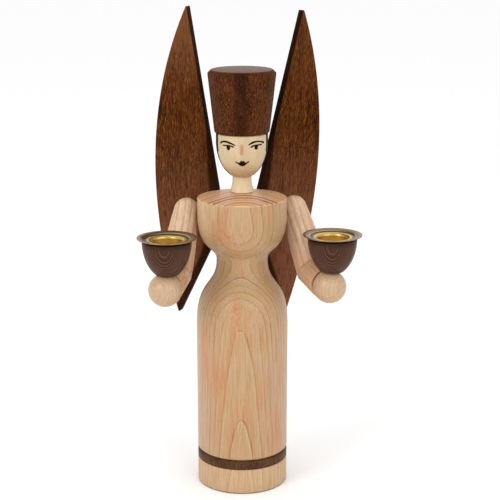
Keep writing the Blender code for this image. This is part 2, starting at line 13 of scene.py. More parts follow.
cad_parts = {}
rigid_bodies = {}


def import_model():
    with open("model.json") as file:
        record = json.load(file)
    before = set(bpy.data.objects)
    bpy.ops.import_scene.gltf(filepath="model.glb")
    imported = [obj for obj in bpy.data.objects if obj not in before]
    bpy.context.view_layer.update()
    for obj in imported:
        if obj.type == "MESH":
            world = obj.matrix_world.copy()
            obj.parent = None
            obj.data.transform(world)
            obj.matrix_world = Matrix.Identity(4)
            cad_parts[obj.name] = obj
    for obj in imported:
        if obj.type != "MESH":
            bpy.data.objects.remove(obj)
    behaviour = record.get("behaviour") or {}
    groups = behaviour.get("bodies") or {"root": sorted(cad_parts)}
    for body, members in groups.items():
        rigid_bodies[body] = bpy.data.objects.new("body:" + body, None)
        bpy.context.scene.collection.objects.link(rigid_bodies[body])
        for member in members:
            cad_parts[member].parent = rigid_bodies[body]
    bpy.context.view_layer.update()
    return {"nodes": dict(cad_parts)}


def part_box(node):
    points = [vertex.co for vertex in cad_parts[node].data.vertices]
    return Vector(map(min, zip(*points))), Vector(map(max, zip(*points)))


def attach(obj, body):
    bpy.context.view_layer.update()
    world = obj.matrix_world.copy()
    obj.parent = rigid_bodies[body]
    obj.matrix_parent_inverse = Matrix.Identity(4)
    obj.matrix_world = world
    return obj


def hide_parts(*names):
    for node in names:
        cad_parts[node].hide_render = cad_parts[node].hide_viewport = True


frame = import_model()

MM = 0.001
GAP = 0.3 * MM
WELD = 0.001 * MM
TURN_STEPS = 144
SMALL_TURN_STEPS = 96
SMOOTH_ANGLE = math.radians(38.0)
CORNER_ROUND = 0.25 * MM
CORNER_SEGMENTS = 2
EDGE_CHAMFER = 0.6 * MM
FINE_CHAMFER = 0.4 * MM

# Sizes of the turned stack, from the foot to the hat
BASE_RADIUS = 32.0 * MM
FOOT_HEIGHT = 18.0 * MM
BAND_HEIGHT = 6.3 * MM
BAND_BORE_RADIUS = 5.3 * MM
GROOVE_DEPTH = 1.3 * MM
HIP_RADIUS = 32.2 * MM
HIP_HEIGHT = 92.2 * MM
HIP_FULLNESS = 32.7 * MM
WAIST_RADIUS = 17.9 * MM
WAIST_HEIGHT = 138.9 * MM
WAIST_FLOW_DOWN = 20.0 * MM
WAIST_FLOW_UP = 9.6 * MM
CHEST_RADIUS = 31.2 * MM
CHEST_HEIGHT = 170.5 * MM
CHEST_FULLNESS = 24.6 * MM
SHOULDER_HEIGHT = 183.1 * MM
SHOULDER_RISE = 4.0 * MM
SHOULDER_ROUND = 1.2 * MM
NECK_FOOT_RADIUS = 8.3 * MM
NECK_RADIUS = 6.5 * MM
NECK_HEIGHT = 9.0 * MM
HEAD_RADIUS = 17.9 * MM
HEAD_MIDDLE = 34.7 * MM
CHIN_DEPTH = 25.9 * MM
HEAD_HEIGHT = 40.8 * MM
HAT_BOTTOM_RADIUS = 19.0 * MM
HAT_TOP_RADIUS = 23.5 * MM
HAT_HEIGHT = 43.0 * MM
HAT_TOP_CHAMFER = 2.5 * MM
HAT_CORNER_ROUND = 0.5 * MM
BAND_BOTTOM = FOOT_HEIGHT + GAP
BODY_BOTTOM = BAND_BOTTOM + BAND_HEIGHT + GAP
SHOULDER_EDGE = BODY_BOTTOM + SHOULDER_HEIGHT
HEAD_BOTTOM = SHOULDER_EDGE + SHOULDER_RISE + GAP
HAT_BOTTOM = HEAD_BOTTOM + HEAD_HEIGHT + GAP

# Places and sizes of the arms, hands and cups
SHOULDERS = {"left": Vector((-37.97, 10.53, 197.3)) * MM, "right": Vector((37.97, 10.53, 197.3)) * MM}
ELBOWS = {"left": Vector((-47.47, -8.07, 156.4)) * MM, "right": Vector((48.97, -8.07, 156.4)) * MM}
WRISTS = {"left": Vector((-55.77, -39.07, 152.1)) * MM, "right": Vector((55.87, -39.07, 151.1)) * MM}
ARM_TOP_RADIUS = 8.7 * MM
ELBOW_RADIUS = 11.5 * MM
ARM_FULLNESS = 25.0 * MM
CUFF_RADIUS = 10.9 * MM
CUFF_SETBACK = 8.2 * MM
HAND_RADIUS = 11.4 * MM
HAND_FLAT = 10.5 * MM
CUP_RADIUS = 16.7 * MM
CUP_CURVE_HEIGHT = 25.9 * MM
CUP_HEIGHT = 23.1 * MM
CUT_PAST = 6.0 * MM
GLUE_LINE = 0.04 * MM

# Sizes of the brass inserts
SOCKET_RADIUS = 10.7 * MM
SOCKET_DEPTH = 14.0 * MM
SOCKET_CORNER = 1.0 * MM
BRASS_SHEET = 0.6 * MM
LIP_ROUND = 1.8 * MM
RECESS_RADIUS = 14.8 * MM
RECESS_STEP = 0.7 * MM
FLANGE_RADIUS = 20.0 * MM
FLANGE_RISE = 0.9 * MM
BRASS_CORNER_ROUND = 0.12 * MM

# Sizes and places of the wings
WING_THICKNESS = 6.0 * MM
WING_SEAT_ANGLE = {"left": math.radians(51.1), "right": math.radians(48.1)}
WING_SWEEP = math.radians(26.7)
WING_LEAN = math.radians(3.05)
WING_CORNER_INSET = {"left": 8.8 * MM, "right": 12.7 * MM}
WING_CORNER_DROP = 22.3 * MM
WING_TOP = (33.9 * MM, 149.2 * MM)
WING_TOP_TIP = 1.0 * MM
WING_BOTTOM = (30.3 * MM, -71.3 * MM)
WING_BOTTOM_TIP = 1.2 * MM
WING_BOW_REACH = 72.2 * MM
WING_BOW_TOP_PULL = 30.8 * MM
WING_BOW_BOTTOM_PULL = 24.6 * MM
WING_ARRIS = 0.5 * MM
WING_ARRIS_SEGMENTS = 3

SIDES = {"left": -1, "right": 1}

# The face is painted a little to the left of the figure's front
FACE_TURN = math.radians(-5.0)
PAINT_THICKNESS = 0.06 * MM
# Longer edges of a film are divided, so that it follows the head
PAINT_EDGE = 1.0 * MM

# Textures are laid out in millimetres
MM_PER_METRE = 1000.0
# The least that a surface is taken to cut into the growth rings
SHALLOWEST_CUT = 0.02

# Light wood
ASH = {"clear": "#b08f65", "warm": "#b67b4f", "line": "#81502b", "light": "#bea37a", "orange": "#b8784a",
       "pink": "#b6917a", "pore": "#80593a"}
FOOT_ASH = dict(ASH, clear="#bb9a72", warm="#bd9169", light="#c9b08a")
SLEEVE_ASH = {"clear": "#ccac8a", "warm": "#bd8f6a", "line": "#8b5a39", "light": "#e2cbb0",
              "orange": "#bf8760", "pink": "#caa28c", "pore": "#6f4a31"}
LOWER_SLEEVE_ASH = dict(SLEEVE_ASH, clear="#c09873", light="#d3b292", orange="#b97d53", pink="#c09577")
HAND_ASH = {"clear": "#b59573", "warm": "#b38d68", "line": "#9b7654", "light": "#c4a988", "orange": "#b5855d",
            "pink": "#ba957c", "pore": "#8a6445"}
# Painted light on the left of the chest
CHEST_PAINTED_LIGHT = "#cbaa80"
END_GRAIN = "#e2b186"
END_RING = "#7e4a29"
# Painted contact shadow along the foot's lower edge
CONTACT_SHADOW = "#22140c"
CUFF_SHADOW = "#4f3220"
BODY_TURN = Matrix.Rotation(math.radians(-8.3), 3, "Z")
SLEEVE_ROLL = math.radians(60.0)
HAND_ROLL = math.radians(50.0)
# Depth of the body's growth rings in from its front, in millimetres, and how bold they are
BODY_RING_BOLDNESS = [(-24.0, 0.35), (-20.0, 0.85), (-16.0, 0.3), (-8.0, 0.3), (-5.0, 1.0), (-2.0, 0.3),
                      (3.0, 0.4), (6.4, 1.0), (9.0, 0.4), (12.2, 1.0), (14.8, 0.45), (18.0, 0.9), (21.0, 0.9),
                      (24.0, 0.5), (26.7, 0.8), (29.6, 0.9)]
SAPWOOD_DEPTH = 22.0
# The shoulder's pith and height in millimetres, and the rings round the pith: distance and how dark
END_PITH = (3.5, -45.0)
END_GRAIN_HEIGHT = 206.9
SHOULDER_RINGS = [(17.0, 0.5), (20.8, 0.8), (25.2, 0.5), (29.2, 1.0), (33.6, 0.95), (38.6, 0.45), (43.5, 0.7),
                  (49.5, 0.45), (55.0, 0.5), (62.0, 0.35)]
SHOULDER_REACH = (12.0, 70.0)

# Dark wood
WING_WALNUT = {"clear": "#4a250d", "deep": "#2d1206", "red": "#4f2314", "streak": "#603613", "pore": "#86582a"}
HAT_WALNUT = {"clear": "#47210b", "deep": "#250d05", "red": "#4f2317", "streak": "#5a3214", "pore": "#82542e"}
BAND_WALNUT = {"clear": "#4d3220", "deep": "#3a2315", "red": "#4d2c20", "streak": "#5f4129", "pore": "#775436"}
# Painted highlight on the hat's top chamfer
HAT_RIM_HIGHLIGHT = "#7a5740"
# Painted grey sheen on the hat's end-grain top, with its rings
HAT_TOP_SHEEN = "#715a4c"
HAT_TOP_SHEEN_RING = "#604a3e"
# Painted shade on a wing's sawn edge faces
WING_EDGE_SHADE = "#1d0c05"
# Painted highlight along a wing's arrises
WING_ARRIS_HIGHLIGHT = "#8d5a3c"
# Painted light on a wing's upper tip
WING_TIP_LIGHT = "#794e33"
# A wing turns lighter towards its foot
WING_FOOT_TONE = "#7f523b"
# Painted shadow along a wing's inner border
WING_INNER_SHADOW = "#1d0b04"
WING_GRAIN_TILT = math.radians(5.0)
# Strength of the painted light at each wing's tip, and of the lighter foot
WING_TIP_LIGHT_STRENGTH = {"left": 0.55, "right": 0.15}
WING_FOOT_TONE_STRENGTH = {"left": 0.6, "right": 0.85}
# Slopes of a wing's upper and lower inner edge against its grain
WING_INNER_SLOPES = (math.radians(7.8), math.radians(-28.0))

# Cups, brass and paint
# The rim tone is a painted shadow under the brass flange
CUP_WOOD = {"clear": "#3d251b", "purple": "#45272a", "brown": "#472d18", "rim": "#22140c", "pore": "#20120c"}
CUP_RINGS = [(0.0, "#362017"), (0.45, "#3c2413"), (0.70, "#523520"), (0.84, "#866650"), (1.0, "#402920")]
CUP_TURN = math.radians(-10.0)
CUP_GRAIN_HEIGHT = 15.0 * MM
BRASS = {"socket": "#e8cb7a", "recess": "#d9bd7c", "flange": "#967a58", "spot": "#604a33"}
# Painted shade in the crease, painted highlight on the ridge and a darker rolled lip: radius, half the
# width of the full and of the fading tone in millimetres, strength and tone
BRASS_RINGS = [(14.3, 0.7, 1.4, 0.85, "#43321c"), (15.65, 0.12, 0.35, 0.8, "#d8bf86"),
               (11.1, 0.15, 0.5, 0.5, "#6e5426")]
BRASS_DEPTH = 13.0 * MM
# The chin tone is a tan tint that is partly painted shade
LACQUER = {"cream": "#c4ad89", "veil": "#bba37e", "neck": "#cfb995", "chin": "#a87d55", "nose_top": "#a5704a",
           "nose_foot": "#a8643e", "hair": "#1c0f0a", "strand": "#2e1b13"}
# How far round the head the hair begins, in millimetres, at the brow, the cheek and the chin
HAIR_EDGE = 20.4
HAIR_EDGE_CHEEK = 22.1
HAIR_EDGE_CHIN = 18.0
BRUSH_DARK = "#220f03"
BRUSH_THIN = "#241407"

# Studio
FLOOR_RADIUS = 9.0
FLOOR_WHITES = (0.97, 0.98)
FLOOR_ROUGHNESS = 0.9
LIT_POINT = Vector((0.0, 0.0, 0.18))
CAMERA_SENSOR = 36.0
CAMERA_LENS = 97.8
CAMERA_PLACE = (-0.09094, -0.91803, 0.4004)
CAMERA_TURN = (math.radians(75.98), 0.0, math.radians(-6.0))


# Shapes


def arc(centre, radii, first, last, count=12):
    """Points of an upright ellipse arc; an angle of 0 points out, 90 degrees up."""
    angles = [first + (last - first) * index / count for index in range(count + 1)]
    return [(centre[0] + radii[0] * math.cos(a), centre[1] + radii[1] * math.sin(a)) for a in angles]


def drawn_curve(start, start_handle, end_handle, end, count=24):
    """Points of the cubic curve between start and end that two handles shape."""
    points = []
    for index in range(count + 1):
        t = index / count
        shares = ((1 - t) ** 3, 3 * (1 - t) ** 2 * t, 3 * (1 - t) * t ** 2, t ** 3)
        corners = (start, start_handle, end_handle, end)
        points.append(tuple(sum(s * c[axis] for s, c in zip(shares, corners)) for axis in (0, 1)))
    return points


def flow(top, bottom, top_handle, bottom_handle, count=24):
    """A drawn-in outline that leaves top and reaches bottom upright."""
    down, up = (top[0], top[1] - top_handle), (bottom[0], bottom[1] + bottom_handle)
    return drawn_curve(top, down, up, bottom, count)


def turned(profile, steps=TURN_STEPS, closed=False, corner=CORNER_ROUND):
    """Turn a profile of (radius, height) points on the lathe and round its corners."""
    form = bmesh.new()
    points = [form.verts.new((radius, 0.0, height)) for radius, height in profile]
    pairs = list(zip(points, points[1:]))
    if closed:
        pairs.append((points[-1], points[0]))
    edges = [form.edges.new(pair) for pair in pairs]
    bmesh.ops.spin(form, geom=points + edges, cent=(0, 0, 0), axis=(0, 0, 1), angle=math.tau,
                   steps=steps, use_merge=True)
    bmesh.ops.remove_doubles(form, verts=form.verts, dist=WELD)
    bmesh.ops.recalc_face_normals(form, faces=form.faces)
    if corner:
        round_corners(form, corner)
    return form


def round_corners(form, width):
    """Round every edge that is sharper than the smooth shading allows."""
    corners = [e for e in form.edges if e.is_manifold and e.calc_face_angle() > SMOOTH_ANGLE]
    bmesh.ops.bevel(form, geom=corners, offset=width, offset_type="OFFSET", segments=CORNER_SEGMENTS,
                    profile=0.5, affect="EDGES", material=-1, clamp_overlap=True)


def moved(form, matrix):
    """Put a form in its place."""
    bmesh.ops.transform(form, matrix=matrix, verts=form.verts)
    return form


def raised(form, height):
    return moved(form, Matrix.Translation((0, 0, height)))


def along(start, direction):
    """Place that stands a form on start with its axis along direction."""
    return Matrix.Translation(start) @ direction.to_track_quat("Z", "Y").to_matrix().to_4x4()


def mesh_of(form, name):
    mesh = bpy.data.meshes.new(name)
    form.to_mesh(mesh)
    form.free()
    return mesh


def cut_away(form, *cutters):
    """Cut shapes out of a form and return what is left as a form."""
    scene = bpy.context.scene.collection.objects
    blank = bpy.data.objects.new("blank", mesh_of(form, "blank"))
    scene.link(blank)
    tools = []
    for cutter in cutters:
        tool = bpy.data.objects.new("cutter", mesh_of(cutter, "cutter"))
        scene.link(tool)
        tools.append(tool)
        cut = blank.modifiers.new("cut", "BOOLEAN")
        cut.operation = "DIFFERENCE"
        cut.solver = "EXACT"
        cut.object = tool
    bpy.context.view_layer.update()
    done = bpy.data.meshes.new_from_object(blank.evaluated_get(bpy.context.evaluated_depsgraph_get()))
    result = bmesh.new()
    result.from_mesh(done)
    for used in [blank] + tools:
        bpy.data.objects.remove(used, do_unlink=True)
    return result


def place_piece(name, form, material, slot, *nodes):
    """Make a form a piece of the figure, in place of its CAD nodes."""
    mesh = mesh_of(form, name)
    mesh.shade_smooth()
    mesh.set_sharp_from_angle(angle=SMOOTH_ANGLE)
    mesh.materials.append(material)
    piece = bpy.data.objects.new(name, mesh)
    bpy.context.scene.collection.objects.link(piece)
    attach(piece, "root")
    if nodes:
        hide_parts(*nodes)
    return piece


# Finishes


def shade(code):
    """Linear colour of a written sRGB colour."""
    parts = [int(code[i:i + 2], 16) / 255 for i in (1, 3, 5)]
    return tuple(p / 12.92 if p <= 0.04045 else ((p + 0.055) / 1.055) ** 2.4 for p in parts) + (1.0,)


class Finish:
    """A material in the making. Each call adds one node and returns its output."""

    def __init__(self, name, metallic=0.0, coat=0.0, coat_roughness=0.2, shine=0.5, ior=1.5):
        self.material = bpy.data.materials.new(name)
        self.material.use_nodes = True
        self.tree = self.material.node_tree
        self.shader = self.tree.nodes["Principled BSDF"]
        self.shader.inputs["Metallic"].default_value = metallic
        self.shader.inputs["Coat Weight"].default_value = coat
        self.shader.inputs["Coat Roughness"].default_value = coat_roughness
        self.shader.inputs["Specular IOR Level"].default_value = shine
        self.shader.inputs["IOR"].default_value = ior

    def node(self, kind, inputs, **settings):
        made = self.tree.nodes.new("ShaderNode" + kind)
        for name, value in settings.items():
            setattr(made, name, value)
        for key, value in inputs.items():
            self.feed(made.inputs[key], value)
        return made

    def feed(self, socket, value):
        """Join a node's output to a socket, or set the socket to a value or a written colour."""
        if isinstance(value, bpy.types.NodeSocket):
            self.tree.links.new(value, socket)
        else:
            socket.default_value = shade(value) if isinstance(value, str) else value

    def math(self, operation, *values, clamp=False):
        return self.node("Math", dict(enumerate(values)), operation=operation, use_clamp=clamp).outputs[0]

    def parts(self, vector):
        return self.node("SeparateXYZ", {0: vector}).outputs

    def length(self, vector):
        return self.node("VectorMath", {0: vector}, operation="LENGTH").outputs["Value"]

    def level(self, x, y):
        """A point at height 0."""
        return self.node("CombineXYZ", {"X": x, "Y": y}).outputs[0]

    def place(self, origin=(0, 0, 0), turn=None):
        """Object coordinates in millimetres, seen from a piece's own origin and turn."""
        turn = (turn or Matrix.Identity(3)).transposed()
        shift = turn @ Vector(origin) * -MM_PER_METRE
        inputs = {"Vector": self.node("TexCoord", {}).outputs["Object"], "Location": shift,
                  "Rotation": turn.to_euler(), "Scale": (MM_PER_METRE,) * 3}
        return self.node("Mapping", inputs).outputs[0]

    def stretched(self, place, across, up, shift=(0.0, 0.0, 0.0)):
        """A place squeezed so that a pattern is across wide and up long, in millimetres."""
        scale = (1.0 / across, 1.0 / across, 1.0 / up)
        return self.node("Mapping", {"Vector": place, "Location": shift, "Scale": scale}).outputs[0]

    def noise(self, vector, detail=3.0, roughness=0.55):
        inputs = {"Vector": vector, "Scale": 1.0, "Detail": detail, "Roughness": roughness}
        return self.node("TexNoise", inputs).outputs[0]

    def between(self, value, low, high, start=0.0, end=1.0, smooth=True):
        """How far a value is on its way from low to high."""
        inputs = {"Value": value, "From Min": low, "From Max": high, "To Min": start, "To Max": end}
        kind = "SMOOTHSTEP" if smooth else "LINEAR"
        return self.node("MapRange", inputs, interpolation_type=kind).outputs[0]

    def ramp(self, share, stops):
        made = self.node("ValToRGB", {"Fac": share})
        elements = made.color_ramp.elements
        for index, (position, colour) in enumerate(stops):
            element = elements[index] if index < 2 else elements.new(position)
            element.position = position
            element.color = colour
        return made.outputs[0]

    def grey_ramp(self, share, stops):
        return self.ramp(share, [(position, (value, value, value, 1.0)) for position, value in stops])

    def mix(self, share, first, second):
        return self.node("Mix", {0: share, 6: first, 7: second}, data_type="RGBA").outputs[2]

    def ring_count(self, place, pith, lean, first_ring, spacing, wobble):
        """Growth rings counted out from the pith, which lies pith millimetres towards -Y."""
        slow = self.noise(self.stretched(place, 26.0, 90.0), detail=2.0)
        quick = self.noise(self.stretched(place, 7.0, 40.0, (3.0, 1.0, 7.0)), detail=2.0)
        x, y, z = self.parts(place)
        depth = self.math("SUBTRACT", pith, self.length(self.level(x, self.math("ADD", y, pith))))
        depth = self.math("SUBTRACT", depth, self.math("MULTIPLY", z, lean))
        drift = self.math("MULTIPLY_ADD", self.math("SUBTRACT", slow, 0.5), wobble * 4.0, depth)
        drift = self.math("MULTIPLY_ADD", self.math("SUBTRACT", quick, 0.5), wobble, drift)
        return self.math("DIVIDE", self.math("SUBTRACT", drift, first_ring), spacing)

    def steepness(self, place, turn, pith, lean):
        """How steeply the surface cuts through the growth rings: 0 along them, 1 square to them."""
        turn = (turn or Matrix.Identity(3)).transposed()
        inputs = {"Vector": self.node("NewGeometry", {}).outputs["Normal"], "Rotation": turn.to_euler()}
        normal = self.node("Mapping", inputs, vector_type="VECTOR").outputs[0]
        x, y, _ = self.parts(place)
        from_pith = self.level(x, self.math("ADD", y, pith))
        outwards = self.node("VectorMath", {0: from_pith}, operation="NORMALIZE").outputs[0]
        fall = self.node("VectorMath", {0: outwards, 1: (0.0, 0.0, lean)}, operation="ADD").outputs[0]
        facing = self.node("VectorMath", {0: fall, 1: normal}, operation="DOT_PRODUCT").outputs["Value"]
        square = self.math("SUBTRACT", 1.0 + lean * lean, self.math("MULTIPLY", facing, facing))
        return self.math("SQRT", self.math("MAXIMUM", square, SHALLOWEST_CUT ** 2))

    def chance(self, count):
        """A value of its own for each ring."""
        whole = self.math("FLOOR", count)
        return self.node("TexWhiteNoise", {"W": whole}, noise_dimensions="1D").outputs["Value"]

    def done(self, colour, roughness, height=None, bump=0.2, bump_depth=0.05 * MM):
        self.feed(self.shader.inputs["Base Color"], colour)
        self.feed(self.shader.inputs["Roughness"], roughness)
        if height is not None:
            inputs = {"Strength": bump, "Distance": bump_depth, "Height": height}
            self.feed(self.shader.inputs["Normal"], self.node("Bump", inputs).outputs[0])
        return self.material


def body_ring_strength(wood, depth, up, strength):
    """The body's own bold and faint growth rings, fainter on the chest."""
    strength = wood.math("MULTIPLY", strength, wood.between(up, 110.0, 145.0, 1.0, 0.6))
    low, high = BODY_RING_BOLDNESS[0][0], BODY_RING_BOLDNESS[-1][0]
    share_down = wood.between(depth, low, high, smooth=False)
    bold = wood.grey_ramp(share_down, [((d - low) / (high - low), b) for d, b in BODY_RING_BOLDNESS])
    return wood.math("MULTIPLY", strength, wood.math("MULTIPLY", bold, 1.5), clamp=True)


def body_sapwood_and_painted_light(wood, depth, across, up, tones, colour):
    """Paler sapwood, partly painted sheen, on the skirt's sides, and painted light on the left of the chest."""
    # Paler sapwood on the skirt's sides, partly painted sheen
    pale = wood.math("MULTIPLY", wood.between(depth, SAPWOOD_DEPTH + 4.0, SAPWOOD_DEPTH - 6.0),
                     wood.between(up, 90.0, 125.0, 0.5, 0.0))
    colour = wood.mix(pale, colour, tones["pink"])
    # Painted light: the left of the chest is lighter
    chest_light = wood.math("MULTIPLY", wood.between(across, -12.0, -26.0, 0.0, 0.75),
                           wood.between(up, 132.0, 160.0))
    return wood.mix(chest_light, colour, CHEST_PAINTED_LIGHT)


def shoulder_end_grain(wood, place, tones, colour):
    """Broad dark rings where the turning cut across the grain of the shoulder."""
    x, y, z = wood.parts(place)
    x, y = wood.math("SUBTRACT", x, END_PITH[0]), wood.math("SUBTRACT", y, END_PITH[1])
    reach = wood.length(wood.level(x, y))
    drift = wood.noise(wood.stretched(place, 9.0, 9.0, (4.0, 2.0, 6.0)), detail=2.0)
    reach = wood.math("MULTIPLY_ADD", wood.math("SUBTRACT", drift, 0.5), 3.0, reach)
    low, high = SHOULDER_REACH
    stops = [(0.0, 0.0)]
    for distance, dark in SHOULDER_RINGS:
        stops += [((distance - 1.7 - low) / (high - low), 0.05), ((distance - low) / (high - low), dark),
                  ((distance + 1.9 - low) / (high - low), 0.25 * dark)]
    dark = wood.grey_ramp(wood.between(reach, low, high, smooth=False), stops)
    top = wood.between(z, END_GRAIN_HEIGHT, END_GRAIN_HEIGHT + 0.9)
    colour = wood.mix(wood.math("MULTIPLY", top, 0.85), colour, END_GRAIN)
    return wood.mix(wood.math("MULTIPLY", top, dark), colour, END_RING)


def foot_contact_shadow(wood, place, tones, colour):
    """Painted contact shadow: a dark line where the foot stands."""
    up = wood.parts(place)[2]
    return wood.mix(wood.between(up, 0.65, 1.0, 0.9, 0.0), colour, CONTACT_SHADOW)


def warm_elbow(wood, place, tones, colour):
    """Sleeve that turns warmer down to the elbow."""
    up = wood.parts(place)[2]
    return wood.mix(wood.between(up, 30.0, 0.0, 0.0, 0.55), colour, tones["orange"])


def cuff_of(hand):
    """Mark for the sleeve that closes round a hand: a painted shadow line at its cuff."""
    def cuff_line(wood, place, tones, colour):
        reach = wood.length(wood.place(hand))
        palm = HAND_RADIUS * MM_PER_METRE
        return wood.mix(wood.between(reach, palm + 0.6, palm + 1.3, 0.8, 0.0), colour, CUFF_SHADOW)
    return cuff_line


def light_wood(name, tones=ASH, origin=(0, 0, 0), turn=None, pith=250.0, lean=0.046, first_ring=29.6,
               spacing=2.9, warmth=0.5, ring_strength=1.0, line_width=1.0, side_lines=0.55, is_body=False,
               mark=None, shine=0.34, coat=0.12):
    """Clear-lacquered ash: fine rings that run orange into a thin brown line.

    The lines are line_width thick on the surface, and side_lines strong where the rings are cut
    square. A mark adds what only one piece shows.
    """
    wood = Finish(name, coat=coat, coat_roughness=0.26, shine=shine)
    place = wood.place(origin, turn)
    count = wood.ring_count(place, pith, lean, first_ring, spacing, wobble=0.35)
    share = wood.math("FRACT", count)

    steep = wood.steepness(place, turn, pith, lean)
    apart = wood.math("DIVIDE", spacing, steep)
    from_line = wood.math("MULTIPLY", share, apart)
    to_line = wood.math("MULTIPLY", wood.math("SUBTRACT", 1.0, share), apart)
    glow = wood.math("MULTIPLY", wood.between(to_line, 17.0, 1.0), wood.between(share, 0.45, 0.85))
    rings = wood.mix(glow, tones["clear"], tones["warm"])
    rings = wood.mix(wood.between(from_line, 0.3, 2.4, 0.6, 0.0), rings, tones["light"])
    rings = wood.mix(wood.between(to_line, line_width * 1.3, line_width * 0.5), rings, tones["line"])
    strength = wood.between(wood.chance(count), 0.0, 1.0, 0.4 * ring_strength, ring_strength, smooth=False)
    strength = wood.math("MULTIPLY", strength, wood.between(steep, 0.3, 0.85, 1.0, side_lines))
    if is_body:
        across, _, up = wood.parts(place)
        depth = wood.math("MULTIPLY_ADD", count, spacing, first_ring)
        strength = body_ring_strength(wood, depth, up, strength)
    colour = wood.mix(wood.math("MINIMUM", strength, 1.0), tones["clear"], rings)
    if is_body:
        colour = body_sapwood_and_painted_light(wood, depth, across, up, tones, colour)

    patches = wood.noise(wood.stretched(place, 13.0, 50.0, (5.0, 9.0, 2.0)), detail=2.0)
    colour = wood.mix(wood.between(patches, 0.50, 0.70, 0.0, warmth), colour, tones["orange"])
    pink = wood.noise(wood.stretched(place, 2.4, 70.0, (1.0, 4.0, 8.0)), detail=3.0)
    colour = wood.mix(wood.between(pink, 0.46, 0.66, 0.0, 0.4), colour, tones["pink"])

    streaks = wood.noise(wood.stretched(place, 0.6, 18.0), detail=4.0, roughness=0.65)
    colour = wood.mix(wood.between(streaks, 0.50, 0.68, 0.0, 0.34), colour, tones["line"])
    colour = wood.mix(wood.between(streaks, 0.50, 0.34, 0.0, 0.42), colour, tones["light"])
    fibres = wood.noise(wood.stretched(place, 0.26, 4.0), detail=3.0, roughness=0.6)
    pores = wood.between(fibres, 0.56, 0.68)
    colour = wood.mix(wood.math("MULTIPLY", pores, 0.34), colour, tones["pore"])
    if mark:
        colour = mark(wood, place, tones, colour)

    gloss = wood.between(streaks, 0.3, 0.7, 0.36, 0.48, smooth=False)
    height = wood.math("SUBTRACT", wood.math("MULTIPLY", streaks, 0.5), pores)
    return wood.done(colour, gloss, height)


def hat_crown(wood, place, late, tones, colour):
    """Dark heart down the hat's middle, painted highlight on its chamfer, painted sheen on its end-grain top.
    """
    across, _, up = wood.parts(place)
    top = HAT_HEIGHT * MM_PER_METRE
    heart = wood.between(wood.math("ABSOLUTE", across), 2.0, 7.5, 0.6, 0.0)
    colour = wood.mix(heart, colour, tones["deep"])
    # Painted highlight along the top chamfer
    colour = wood.mix(wood.between(up, top - 0.8, top - 0.3, 0.0, 0.3), colour, HAT_RIM_HIGHLIGHT)
    # Painted sheen on the end-grain top
    grey = wood.mix(late, HAT_TOP_SHEEN, HAT_TOP_SHEEN_RING)
    return wood.mix(wood.between(up, top - 0.2, top - 0.05, 0.0, 0.85), colour, grey)


def wing_painted_light(wood, place, streaks, side, colour, gloss):
    """Painted shade on a wing's sawn edges and inner border, painted light on its arrises and tip; a lighter
    foot.
    """
    outwards, through, up = wood.parts(place)
    inside = wood.math("ABSOLUTE", through)
    face = WING_THICKNESS * MM_PER_METRE / 2
    # Painted shade on the sawn edge faces
    sawn = wood.between(inside, face - 0.50, face - 0.30, 0.82, 0.0)
    colour = wood.mix(sawn, colour, WING_EDGE_SHADE)
    # Painted highlight along the arrises
    arris = wood.math("ABSOLUTE", wood.math("SUBTRACT", inside, face - 0.22))
    colour = wood.mix(wood.between(arris, 0.08, 0.2, 0.5, 0.0), colour, WING_ARRIS_HIGHLIGHT)
    # Painted light towards the upper tip
    faded = wood.math("MULTIPLY", wood.between(up, 85.0, 135.0, 0.0, WING_TIP_LIGHT_STRENGTH[side]),
                      wood.between(streaks, 0.36, 0.56, 0.5, 1.0))
    colour = wood.mix(faded, colour, WING_TIP_LIGHT)
    # Lighter towards the foot
    faded = wood.math("MULTIPLY", wood.between(up, 75.0, -20.0, 0.0, WING_FOOT_TONE_STRENGTH[side]),
                      wood.between(streaks, 0.40, 0.56, 0.4, 1.0))
    colour = wood.mix(faded, colour, WING_FOOT_TONE)

    # Painted shadow along the inner border, beside the head and chest
    outwards = wood.math("MULTIPLY", outwards, SIDES[side])
    above, below = [wood.math("ADD", wood.math("MULTIPLY", outwards, math.cos(slope)),
                              wood.math("MULTIPLY", up, -math.sin(slope))) for slope in WING_INNER_SLOPES]
    width = wood.math("MINIMUM", wood.between(up, 20.0, 75.0, 8.0, 0.5),
                      wood.between(up, -30.0, 0.0, 5.5, 8.0))
    inner = wood.math("DIVIDE", wood.math("MINIMUM", above, below), width)
    colour = wood.mix(wood.between(inner, 0.55, 1.0, 0.85, 0.0), colour, WING_INNER_SHADOW)
    return colour, wood.math("MAXIMUM", gloss, wood.between(inside, face - 0.55, face - 0.45))


